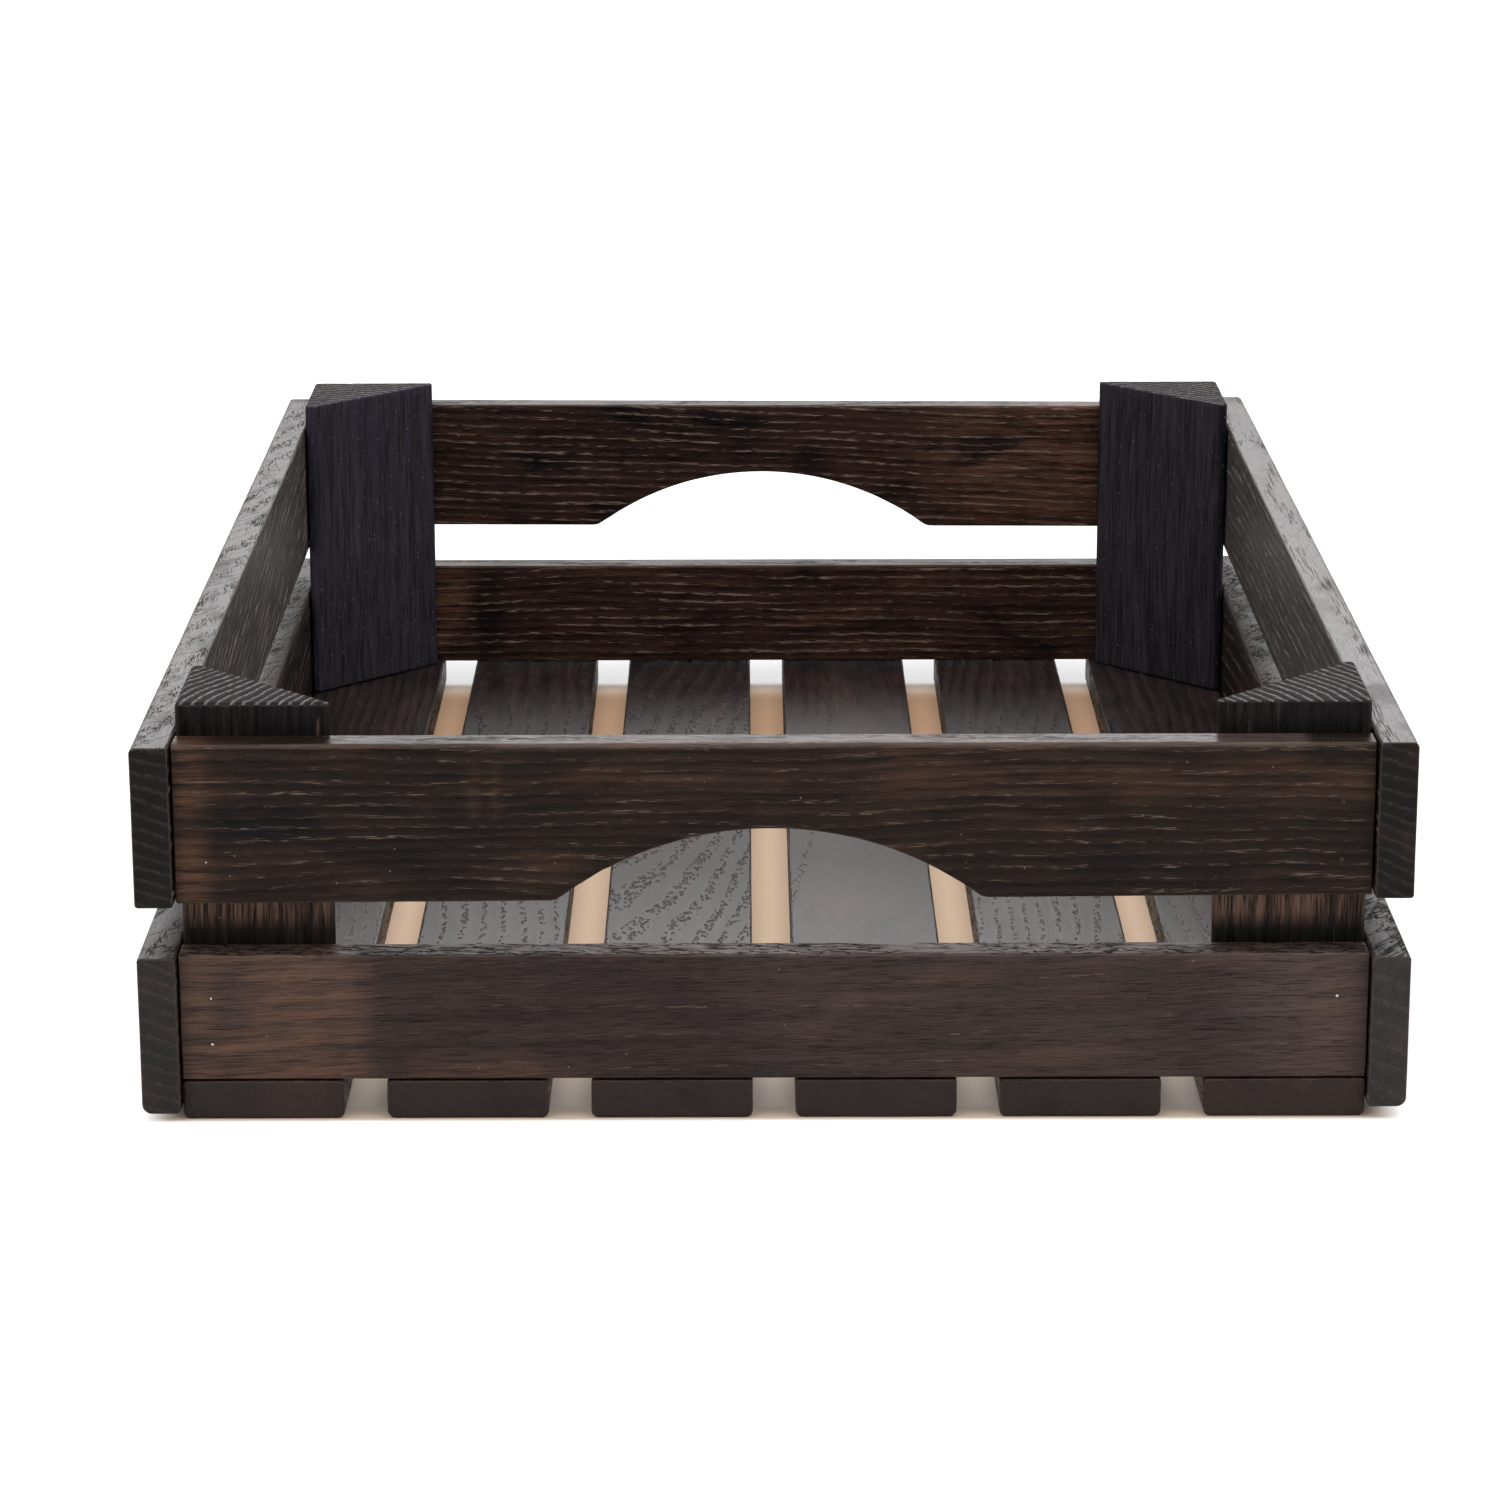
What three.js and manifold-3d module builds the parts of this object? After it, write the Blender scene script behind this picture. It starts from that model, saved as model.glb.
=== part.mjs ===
// An open crate of dark stained timber slats, nailed to four three-sided corner posts.
// X runs across the crate, Y along it from front to back, and Z up, in millimetres.
// The origin is the middle of the footprint, on the ground.
import * as THREE from "three";
import { mergeVertices } from "three/addons/utils/BufferGeometryUtils.js";
import Module from "manifold-3d";

const wasm = await Module();
wasm.setup();

// Timber stock
const slatWidth = 38.5;
const slatThickness = 9.2;
const floorSlatThickness = 9.5;
const slatEdge = 0.8; // radius of the sawn long edges
const rimEdge = 1.5; // radius of the rubbed outer edge along the top of the walls
const groundEdge = 2.2; // radius of the worn long edges nearest the ground
const endEase = 0.4; // chamfer round the sawn ends

// Layout
const crateLength = 400;
const floorSlatCount = 6;
const floorSlatGap = 10;
const rowGap = 13; // between the two rows of slats on every wall
const groundClearance = 2.5; // under the lower slats of the long walls
const endWallRecess = 2.5; // of the short walls behind the ends of the long walls' slats
const seatGap = 0.3; // between timbers that bear on each other

// Corner posts
const postLeg = 36.5;
const postTipFlat = 2.5;
const postTipRadius = 0.8;
const postHeelRadius = 1.5;
const postTopEase = 0.6;
const postRise = 7.5; // of the post tops above the upper slats

// Hand hold in the lower edge of the upper slat of each short wall
const handHoldChord = 100;
const handHoldRise = 17.3;
const handHoldLip = 2.5; // radius where the arch runs out into the slat's edge

// Brads, two in each end of each wall slat
const bradLength = 25;
const bradShankRadius = 0.45;
const bradHeadRadius = 0.65;
const bradHeadThickness = 0.6;
const bradPointLength = 2.5;
const bradSinkDepth = 0.2; // of the head below the slat's face
const bradClearance = 0.3; // round the brad in its bore
const bradFromPostHeel = 7.5; // along the wall, from the heel of the post to the brad
const upperBradFromLowEdge = 10;
const upperBradFromHighEdge = 14.5;
const lowerBradFromLowEdge = 9; // of the short walls' lower slats, which are the narrower ones
const lowerBradFromHighEdge = 10.7;
const bradStagger = 4.5; // of the long walls' brads above those that they cross in the post

// What follows from the sizes above
const innerWidth = floorSlatCount * slatWidth + (floorSlatCount - 1) * floorSlatGap + 2 * seatGap;
const crateWidth = innerWidth + 2 * slatThickness;
const endWallFace = crateLength / 2 - endWallRecess;
const longWallFace = crateWidth / 2;
const floorTop = floorSlatThickness + seatGap;
const lowerRowTop = groundClearance + slatWidth;
const upperRowBottom = lowerRowTop + rowGap;
const upperRowTop = upperRowBottom + slatWidth;
const postTop = upperRowTop + postRise;
const lowerBradHeights = [floorTop + lowerBradFromLowEdge, lowerRowTop - lowerBradFromHighEdge];
const upperBradHeights = [upperRowBottom + upperBradFromLowEdge, upperRowTop - upperBradFromHighEdge];
const postHeelX = longWallFace - slatThickness - seatGap;
const postHeelY = endWallFace - slatThickness - seatGap;

// Facets
const cornerSegments = 2;
const archSegments = 12;
const bradSegments = 8;
const cutMargin = 5; // by which a cutter runs past the faces that it cuts

const xAxis = new THREE.Vector3(1, 0, 0);
const yAxis = new THREE.Vector3(0, 1, 0);
const zAxis = new THREE.Vector3(0, 0, 1);
// Turns an outline drawn across a slat, in X and Y, so that the slat lies along X
const alongX = new THREE.Matrix4().makeBasis(yAxis, zAxis, xAxis);

const darkStain = new THREE.MeshStandardMaterial({
  color: 0x33241c,
  roughness: 0.55,
  metalness: 0,
  flatShading: true,
});
const floorStain = darkStain.clone();
floorStain.color.set(0x2e2724);
const postStain = darkStain.clone();
postStain.color.set(0x2b2425);
const brightSteel = new THREE.MeshStandardMaterial({
  color: 0xb9b2a6,
  roughness: 0.35,
  metalness: 1,
});

// A closed outline with a true arc at each corner, given as [x, y, radius] going anticlockwise
function roundedOutline(corners) {
  const outline = new THREE.Shape();
  corners.forEach(([x, y, radius], index) => {
    const corner = new THREE.Vector2(x, y);
    const before = corners[(index + corners.length - 1) % corners.length];
    const after = corners[(index + 1) % corners.length];
    const toBefore = new THREE.Vector2(before[0], before[1]).sub(corner).normalize();
    const toAfter = new THREE.Vector2(after[0], after[1]).sub(corner).normalize();
    const halfAngle = Math.acos(toBefore.dot(toAfter)) / 2;
    const setback = radius / Math.tan(halfAngle);
    const start = corner.clone().addScaledVector(toBefore, setback);
    const end = corner.clone().addScaledVector(toAfter, setback);
    const inward = toBefore.clone().add(toAfter).normalize();
    const centre = corner.clone().addScaledVector(inward, radius / Math.sin(halfAngle));
    const startAngle = start.clone().sub(centre).angle();
    const endAngle = end.clone().sub(centre).angle();
    outline.absarc(centre.x, centre.y, radius, startAngle, endAngle, false);
  });
  outline.closePath();
  return outline;
}

// A bar of the given outline along Z from zero, with its two end faces eased all round
function easedBar(outline, length, ease) {
  const bar = new THREE.ExtrudeGeometry(outline, {
    depth: length - 2 * ease,
    curveSegments: cornerSegments,
    bevelEnabled: true,
    bevelThickness: ease,
    bevelSize: ease,
    bevelOffset: -ease,
    bevelSegments: 1,
  });
  return bar.translate(0, 0, ease);
}

// A slat along X, centred on it, with its outer face on Y = 0 and its lower edge on Z = 0.
// The radii are those of the outer low, inner low, inner high and outer high edges.
function slatGeometry(length, width, thickness, radii) {
  const outline = roundedOutline([
    [0, 0, radii[0]],
    [thickness, 0, radii[1]],
    [thickness, width, radii[2]],
    [0, width, radii[3]],
  ]);
  const slat = easedBar(outline, length, endEase);
  return slat.translate(0, 0, -length / 2).applyMatrix4(alongX);
}

// A post along Z from its foot, with its heel on the Z axis and its legs along X and Y
function postGeometry(height) {
  const outline = roundedOutline([
    [0, 0, postHeelRadius],
    [postLeg, 0, postTipRadius],
    [postLeg, postTipFlat, postTipRadius],
    [postTipFlat, postLeg, postTipRadius],
    [0, postLeg, postTipRadius],
  ]);
  return easedBar(outline, height, postTopEase);
}

// The space under the hand hold, as a bar through the slat's thickness. The arch and the
// slat's lower edge, on Z = 0, are joined by a lip on each side that is tangent to both.
function handHoldGeometry() {
  const radius = (handHoldChord ** 2 / 4 + handHoldRise ** 2) / (2 * handHoldRise);
  const centreY = handHoldRise - radius;
  const lipX = Math.sqrt((radius + handHoldLip) ** 2 - (handHoldLip - centreY) ** 2);
  const lipAngle = Math.atan2(handHoldLip - centreY, lipX);
  const outline = new THREE.Shape();
  outline.moveTo(-lipX, -cutMargin);
  outline.absarc(-lipX, handHoldLip, handHoldLip, -Math.PI / 2, -lipAngle, false);
  outline.absarc(0, centreY, radius, Math.PI - lipAngle, lipAngle, true);
  outline.absarc(lipX, handHoldLip, handHoldLip, lipAngle - Math.PI, -Math.PI / 2, false);
  outline.lineTo(lipX, -cutMargin);
  outline.closePath();
  const cutter = new THREE.ExtrudeGeometry(outline, {
    depth: slatThickness + 2 * cutMargin,
    curveSegments: archSegments,
    bevelEnabled: false,
  });
  return cutter.rotateX(Math.PI / 2).translate(0, slatThickness + cutMargin, 0);
}

// A brad along Y, its head just under the slat's outer face, which is on Y = 0.
// With a clearance it becomes the bore that the brad sits in, open at the face.
function bradGeometry(clearance) {
  const headTop = clearance > 0 ? -cutMargin : bradSinkDepth;
  const headBottom = bradSinkDepth + bradHeadThickness + clearance;
  const tip = bradLength + clearance;
  const profile = [
    new THREE.Vector2(0, headTop),
    new THREE.Vector2(bradHeadRadius + clearance, headTop),
    new THREE.Vector2(bradHeadRadius + clearance, headBottom),
    new THREE.Vector2(bradShankRadius + clearance, headBottom),
    new THREE.Vector2(bradShankRadius + clearance, tip - bradPointLength),
    new THREE.Vector2(0, tip),
  ];
  return new THREE.LatheGeometry(profile, bradSegments);
}

// The solid of a geometry placed by a matrix, without the empty triangles at a lathe's axis
function toSolid(geometry, matrix) {
  const shell = geometry.clone().applyMatrix4(matrix);
  shell.deleteAttribute("normal");
  shell.deleteAttribute("uv");
  const merged = mergeVertices(shell, 1e-4);
  const corners = merged.index.array;
  const triangles = [];
  for (let i = 0; i < corners.length; i += 3) {
    const [a, b, c] = corners.slice(i, i + 3);
    if (a !== b && b !== c && c !== a) triangles.push(a, b, c);
  }
  const mesh = new wasm.Mesh({
    numProp: 3,
    vertProperties: new Float32Array(merged.attributes.position.array),
    triVerts: new Uint32Array(triangles),
  });
  return new wasm.Manifold(mesh);
}

function toGeometry(solid) {
  const mesh = solid.getMesh();
  const geometry = new THREE.BufferGeometry();
  geometry.setAttribute("position", new THREE.Float32BufferAttribute(mesh.vertProperties, 3));
  geometry.setIndex(new THREE.Uint32BufferAttribute(mesh.triVerts, 1));
  geometry.computeVertexNormals();
  return geometry;
}

function namedMesh(name, geometry, material) {
  const mesh = new THREE.Mesh(geometry, material);
  mesh.name = name;
  return mesh;
}

function cutHandHold(slat) {
  const still = new THREE.Matrix4();
  const cut = toSolid(slat, still).subtract(toSolid(handHoldGeometry(), still));
  return toGeometry(cut);
}

// Bores a timber for every brad that passes through it or ends in it
function boreForBrads(timber, brads) {
  const bore = bradGeometry(bradClearance);
  const timberBox = new THREE.Box3().setFromObject(timber);
  const crossing = brads.filter((brad) => timberBox.intersectsBox(new THREE.Box3().setFromObject(brad)));
  let solid = toSolid(timber.geometry, timber.matrixWorld);
  for (const brad of crossing) {
    solid = solid.subtract(toSolid(bore, brad.matrixWorld));
  }
  timber.geometry = toGeometry(solid).applyMatrix4(timber.matrixWorld.clone().invert());
}

// Two brads in each end of a slat, in the wall's own frame
function addBrads(wall, name, endNames, alongWall, heights) {
  endNames.forEach((endName, endIndex) => {
    heights.forEach((height, heightIndex) => {
      const level = heightIndex === 0 ? "low" : "high";
      const brad = namedMesh(`${name}_brad_${endName}_${level}`, bradGeometry(0), brightSteel);
      brad.position.set(endIndex === 0 ? -alongWall : alongWall, 0, height);
      wall.add(brad);
    });
  });
}

// A short wall in its own frame: along X, outer face on Y = 0, Z up from the ground
function buildShortWall(side, endNames) {
  const wall = new THREE.Group();
  const length = innerWidth - 2 * seatGap;
  const lowerWidth = lowerRowTop - floorTop;
  const lowerEdges = [slatEdge, slatEdge, slatEdge, slatEdge];
  const upperEdges = [slatEdge, slatEdge, slatEdge, rimEdge];
  const lowerGeometry = slatGeometry(length, lowerWidth, slatThickness, lowerEdges);
  const upperGeometry = cutHandHold(slatGeometry(length, slatWidth, slatThickness, upperEdges));
  const lowerSlat = namedMesh(`${side}_lower_slat`, lowerGeometry, darkStain);
  const upperSlat = namedMesh(`${side}_upper_slat`, upperGeometry, darkStain);
  lowerSlat.position.z = floorTop;
  upperSlat.position.z = upperRowBottom;
  wall.add(lowerSlat, upperSlat);
  const alongWall = postHeelX - bradFromPostHeel;
  addBrads(wall, `${side}_lower`, endNames, alongWall, lowerBradHeights);
  addBrads(wall, `${side}_upper`, endNames, alongWall, upperBradHeights);
  wall.position.y = -endWallFace;
  return wall;
}

// A long wall in its own frame, placed like a short one
function buildLongWall(side, endNames) {
  const wall = new THREE.Group();
  const lowerEdges = [groundEdge, slatEdge, slatEdge, slatEdge];
  const upperEdges = [slatEdge, slatEdge, slatEdge, rimEdge];
  const lowerGeometry = slatGeometry(crateLength, slatWidth, slatThickness, lowerEdges);
  const upperGeometry = slatGeometry(crateLength, slatWidth, slatThickness, upperEdges);
  const lowerSlat = namedMesh(`${side}_lower_slat`, lowerGeometry, darkStain);
  const upperSlat = namedMesh(`${side}_upper_slat`, upperGeometry, darkStain);
  lowerSlat.position.z = groundClearance;
  upperSlat.position.z = upperRowBottom;
  wall.add(lowerSlat, upperSlat);
  const alongWall = postHeelY - bradFromPostHeel;
  const lowerHeights = lowerBradHeights.map((height) => height + bradStagger);
  const upperHeights = upperBradHeights.map((height) => height + bradStagger);
  addBrads(wall, `${side}_lower`, endNames, alongWall, lowerHeights);
  addBrads(wall, `${side}_upper`, endNames, alongWall, upperHeights);
  wall.position.y = -longWallFace;
  return wall;
}

// Turns a wall about the crate's middle by quarter turns
function turned(wall, quarterTurns) {
  const frame = new THREE.Group();
  frame.rotation.z = (quarterTurns * Math.PI) / 2;
  frame.add(wall);
  return frame;
}

// The four posts stand on the floor slats, each with its heel in a corner of the walls
function buildPosts() {
  const corners = [
    ["front_left_post", -1, -1],
    ["front_right_post", 1, -1],
    ["back_right_post", 1, 1],
    ["back_left_post", -1, 1],
  ];
  return corners.map(([name, sideX, sideY], quarterTurns) => {
    const post = namedMesh(name, postGeometry(postTop - floorTop), postStain);
    post.position.set(sideX * postHeelX, sideY * postHeelY, floorTop);
    post.rotation.z = (quarterTurns * Math.PI) / 2;
    return post;
  });
}

// The floor slats lie side by side between the long walls, their worn edges underneath
function buildFloor() {
  const edges = [groundEdge, slatEdge, slatEdge, groundEdge];
  const pitch = slatWidth + floorSlatGap;
  const firstX = -innerWidth / 2 + seatGap;
  return Array.from({ length: floorSlatCount }, (_, index) => {
    const geometry = slatGeometry(2 * endWallFace, slatWidth, floorSlatThickness, edges);
    const slat = namedMesh(`floor_slat_${index + 1}`, geometry, floorStain);
    slat.setRotationFromMatrix(alongX);
    slat.position.x = firstX + index * pitch;
    return slat;
  });
}

const crate = new THREE.Group();
crate.add(
  turned(buildShortWall("front", ["left", "right"]), 0),
  turned(buildLongWall("right", ["front", "back"]), 1),
  turned(buildShortWall("back", ["right", "left"]), 2),
  turned(buildLongWall("left", ["back", "front"]), 3),
  ...buildPosts(),
  ...buildFloor(),
);
crate.updateMatrixWorld(true);

const meshes = [];
crate.traverse((object) => {
  if (object.isMesh) meshes.push(object);
});
const brads = meshes.filter((mesh) => mesh.material === brightSteel);
for (const timber of meshes.filter((mesh) => mesh.material !== brightSteel)) {
  boreForBrads(timber, brads);
}

export default crate;
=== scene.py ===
"""An open crate of dark stained ash: slats nailed to four corner posts, over a slatted floor.

Lengths are in metres, and a size written in millimetres is multiplied by MM. X runs across the
crate, Y from the front to the back and Z up. A slat is made in a frame of its own, with x along it,
y across its width and z out of its outer face, and is then laid in its place. A post is made with
its heel at the origin and its legs along x and y, and is then turned into its corner.
"""
import logging
import math
from dataclasses import dataclass, replace
from enum import Enum
from typing import Any, Callable, ClassVar, Iterable, Mapping, Sequence

import bpy
import numpy as np
from mathutils import Matrix, Vector


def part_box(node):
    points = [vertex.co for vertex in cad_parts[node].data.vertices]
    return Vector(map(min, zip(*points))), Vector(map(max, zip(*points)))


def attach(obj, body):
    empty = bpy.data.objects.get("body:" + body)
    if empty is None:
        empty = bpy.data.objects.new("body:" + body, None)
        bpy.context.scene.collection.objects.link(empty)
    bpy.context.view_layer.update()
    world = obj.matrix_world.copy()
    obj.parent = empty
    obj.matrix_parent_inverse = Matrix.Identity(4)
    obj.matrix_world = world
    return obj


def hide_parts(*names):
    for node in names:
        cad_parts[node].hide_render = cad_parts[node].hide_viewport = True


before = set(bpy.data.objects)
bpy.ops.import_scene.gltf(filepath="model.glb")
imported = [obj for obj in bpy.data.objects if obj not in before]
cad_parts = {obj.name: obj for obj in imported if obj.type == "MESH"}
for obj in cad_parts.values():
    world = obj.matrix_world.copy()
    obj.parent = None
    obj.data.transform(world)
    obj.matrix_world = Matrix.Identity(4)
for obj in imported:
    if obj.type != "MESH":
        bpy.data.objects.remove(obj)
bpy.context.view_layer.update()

MM = 0.001
log = logging.getLogger("crate")

Pair = tuple[float, float]
Triple = tuple[float, float, float]
Colour = tuple[float, float, float, float]
Inputs = Mapping[Any, Any] | None


def stain(red: float, green: float, blue: float) -> Colour:
    """Turns a colour as a screen shows it, 0 to 255, into the linear light that a shader takes."""
    parts = (part / 255 for part in (red, green, blue))
    return (*(part / 12.92 if part <= 0.04045 else ((part + 0.055) / 1.055) ** 2.4 for part in parts), 1.0)


def in_metres(names: Sequence[str], sizes: Sequence[float]) -> dict[str, float]:
    """Turns sizes in millimetres into metres, under the names that a tree knows them by."""
    return {name: size * MM for name, size in zip(names, sizes)}


def operator(operation: str, swapped: bool = False) -> Callable[["Wire", "Term"], "Wire"]:
    """Makes a method that joins a wire and another value in a Math node.

    Args:
        operation: what the node does.
        swapped: whether the wire is the second of the two values.

    Returns:
        The method.
    """
    def method(wire: "Wire", other: "Term") -> "Wire":
        """Adds the node."""
        terms = (other, wire) if swapped else (wire, other)
        return wire.graph.math(operation, *terms)
    return method


class Wire:
    """One output of a node, with the arithmetic that would otherwise be drawn as Math nodes."""

    __add__ = __radd__ = operator("ADD")
    __sub__ = operator("SUBTRACT")
    __rsub__ = operator("SUBTRACT", swapped=True)
    __mul__ = __rmul__ = operator("MULTIPLY")
    __truediv__ = operator("DIVIDE")
    least = operator("MINIMUM")
    most = operator("MAXIMUM")

    def __init__(self, graph: "Graph", socket: bpy.types.NodeSocket) -> None:
        """Keeps the graph that the output belongs to."""
        self.graph = graph
        self.socket = socket

    def __abs__(self) -> "Wire":
        """The value without its sign."""
        return self.apply("ABSOLUTE")

    def apply(self, operation: str) -> "Wire":
        """A Math node of one value, such as SQRT or SIGN."""
        return self.graph.math(operation, self)

    def clamped(self) -> "Wire":
        """The value held between 0 and 1."""
        return self.most(0.0).least(1.0)

    def hypotenuse(self, other: "Wire") -> "Wire":
        """The root of the sum of the two squares."""
        return (self * self + other * other).apply("SQRT")

    def rise(self, low: "Term", high: "Term") -> "Wire":
        """Climbs smoothly from 0 at the low value to 1 at the high one, which may be the smaller."""
        inputs = {"Value": self, "From Min": low, "From Max": high}
        return self.graph.node("ShaderNodeMapRange", inputs, interpolation_type="SMOOTHSTEP")


Term = Wire | float | int


class Blend(Enum):
    """What a Mix node blends, with the place of the first of its two inputs and of its output."""

    NUMBER = ("FLOAT", 2, 0)
    VECTOR = ("VECTOR", 4, 1)
    COLOUR = ("RGBA", 6, 2)


class Graph:
    """A node tree, shader or geometry, and short ways to write its nodes."""

    def __init__(self, tree: bpy.types.NodeTree) -> None:
        """Clears the tree of what a new one holds."""
        self.tree = tree
        tree.nodes.clear()

    @classmethod
    def group(cls, name: str, kind: str = "ShaderNodeTree") -> "Graph":
        """Starts a node group.

        Args:
            name: the group's name.
            kind: the type of its tree.

        Returns:
            The group's graph, with an input and an output node.
        """
        graph = cls(bpy.data.node_groups.new(name, kind))
        graph.entry = graph.tree.nodes.new("NodeGroupInput")
        graph.exit = graph.tree.nodes.new("NodeGroupOutput")
        return graph

    @classmethod
    def material(cls, name: str) -> tuple["Graph", bpy.types.Material]:
        """Starts a material.

        Args:
            name: the material's name.

        Returns:
            The material's graph, and the material.
        """
        material = bpy.data.materials.new(name)
        material.use_nodes = True
        return cls(material.node_tree), material

    def takes(self, name: str, kind: str = "Float") -> Wire:
        """Adds a named input to the group, and gives the wire that carries it inside."""
        self.tree.interface.new_socket(name, in_out="INPUT", socket_type="NodeSocket" + kind)
        return Wire(self, self.entry.outputs[name])

    def takes_each(self, *names: str, kind: str = "Float") -> list[Wire]:
        """Adds several named inputs of one kind."""
        return [self.takes(name, kind) for name in names]

    def gives(self, name: str, wire: Wire, kind: str = "Float") -> None:
        """Adds a named output to the group, fed by a wire."""
        self.tree.interface.new_socket(name, in_out="OUTPUT", socket_type="NodeSocket" + kind)
        self.tree.links.new(wire.socket, self.exit.inputs[name])

    def make(self, kind: str, inputs: Inputs = None, **settings: Any) -> bpy.types.Node:
        """Adds a node.

        Args:
            kind: the node's type name.
            inputs: the wire or the plain value for each input, by the socket's name or place.
            settings: the node's own properties.

        Returns:
            The node.
        """
        node = self.tree.nodes.new(kind)
        for key, value in settings.items():
            setattr(node, key, value)
        for key, value in (inputs or {}).items():
            if isinstance(value, Wire):
                self.tree.links.new(value.socket, node.inputs[key])
            else:
                node.inputs[key].default_value = value
        return node

    def node(self, kind: str, inputs: Inputs = None, output: int | str = 0, **settings: Any) -> Wire:
        """Adds a node and gives one of its outputs, the first unless another is asked for."""
        return Wire(self, self.make(kind, inputs, **settings).outputs[output])

    def place_group(self, group: "Graph", inputs: Mapping[str, Any]) -> dict[str, Wire]:
        """Places a node group and gives its outputs by name."""
        node = self.make("ShaderNodeGroup", inputs, node_tree=group.tree)
        return {socket.name: Wire(self, socket) for socket in node.outputs}

    def math(self, operation: str, *terms: Term) -> Wire:
        """Adds a Math node."""
        return self.node("ShaderNodeMath", dict(enumerate(terms)), operation=operation)

    def join(self, x: Term, y: Term, z: Term) -> Wire:
        """A vector from its three parts."""
        return self.node("ShaderNodeCombineXYZ", {0: x, 1: y, 2: z})

    def split(self, vector: Wire) -> list[Wire]:
        """The three parts of a vector."""
        return [Wire(self, socket) for socket in self.make("ShaderNodeSeparateXYZ", {0: vector}).outputs]

    def scaled(self, vector: Wire, share: Term) -> Wire:
        """A vector or a colour, multiplied by a number."""
        return self.node("ShaderNodeVectorMath", {0: vector, "Scale": share}, operation="SCALE")

    def attribute(self, name: str, output: str = "Vector") -> Wire:
        """Reads one of the attributes that a piece's mesh carries."""
        return self.node("ShaderNodeAttribute", output=output, attribute_name=name)

    def mix(self, share: Term, first: Any, second: Any, kind: Blend = Blend.COLOUR) -> Wire:
        """Blends two colours, vectors or numbers.

        Args:
            share: how much of the second there is.
            first: what shows where the share is 0.
            second: what shows where the share is 1.
            kind: what they are.

        Returns:
            The blend.
        """
        data_type, place, output = kind.value
        inputs = {0: share, place: first, place + 1: second}
        return self.node("ShaderNodeMix", inputs, output, data_type=data_type)

    def between(self, share: Term, first: Term, second: Term) -> Wire:
        """Blends two numbers."""
        return self.mix(share, first, second, Blend.NUMBER)

    def noise(self, place: Wire, sizes: Sequence[Term], detail: float, roughness: float, seed: Term) -> Wire:
        """Soft noise from 0 to 1.

        Args:
            place: where the noise is read.
            sizes: how large its blobs are, along each axis of the place.
            detail: how many finer layers are added.
            roughness: how strong the finer layers are.
            seed: a shift that gives each use its own noise.

        Returns:
            The noise.
        """
        x, y, z = (part / size for part, size in zip(self.split(place), sizes))
        vector = self.join(x + seed, y, z)
        inputs = {"Vector": vector, "Scale": 1.0, "Detail": detail, "Roughness": roughness}
        return self.node("ShaderNodeTexNoise", inputs, noise_dimensions="3D")


class Side(Enum):
    """Where a slat lies: the way along it, and the way across its width."""

    FRONT = ((1, 0, 0), (0, 0, 1))
    BACK = ((-1, 0, 0), (0, 0, 1))
    RIGHT = ((0, 1, 0), (0, 0, 1))
    LEFT = ((0, -1, 0), (0, 0, 1))
    FLOOR = ((0, 1, 0), (1, 0, 0))

    def turn(self) -> Matrix:
        """The turn from the slat's own frame to the crate's."""
        along, across = (Vector(way) for way in self.value)
        return Matrix((along, across, along.cross(across))).transposed()

    def extent(self, node: str) -> tuple[Vector, Vector]:
        """The middle of a solid of the frame, and its size along the slat's own axes."""
        low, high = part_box(node)
        return (low + high) / 2, Vector(map(abs, self.turn().transposed() @ (high - low)))


class Corner(Enum):
    """A corner of the crate, by the quarter turns that bring a post to it."""

    FRONT_LEFT = 0
    FRONT_RIGHT = 1
    BACK_RIGHT = 2
    BACK_LEFT = 3


@dataclass(frozen=True)
class Patch:
    """A stretch of a timber where the stain took differently, or where sheen or shade is painted, in
    millimetres in the timber's frame.

    The patch covers only the points whose place, weighed by the first two numbers of beyond across the
    timber and out of its face, is more than the third.
    """

    x: float
    y: float
    reach: Pair
    amount: float
    fade: float = 6.0
    beyond: Triple = (0.0, 0.0, -1.0)

    def strength(self, points: np.ndarray) -> np.ndarray:
        """How strongly points of the timber are in the patch.

        Args:
            points: the points, one to a row.

        Returns:
            A number for each point, from 0 outside the patch to its amount inside.
        """
        gaps = np.abs(points[:, :2] - (self.x, self.y)) - self.reach
        share = np.clip(0.5 - gaps / self.fade, 0, 1).prod(axis=1)
        across, out, least = self.beyond
        covered = points[:, 1] * across + points[:, 2] * out > least
        return self.amount * (share ** 2 * (3 - 2 * share)) * covered


@dataclass(frozen=True)
class Cut:
    """How a timber was cut from its log: where the pith runs by it, and how wide the rings are.

    The place of the pith is in millimetres from the origin of the timber's frame, across the grain, and
    the slopes are how far the pith drifts for each millimetre along the timber. The last four are
    shares of the wood's own: how strong its pores and streaks are, how coarse the pores are, and how
    much of each ring they fill.
    """

    pith: Pair
    slope: Pair = (0.0, 0.0)
    ring: float = 3.0
    start: float = 0.0
    pores: float = 1.0
    streaks: float = 1.0
    coarse: float = 1.0
    band: float = 1.0

    def place(self, points: np.ndarray) -> np.ndarray:
        """Each point's place in the log, in millimetres: along it, and from the pith."""
        pith = self.pith + np.outer(points[:, 0], self.slope)
        return np.column_stack((points[:, 0] + self.start, points[:, 1:] - pith))


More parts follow.
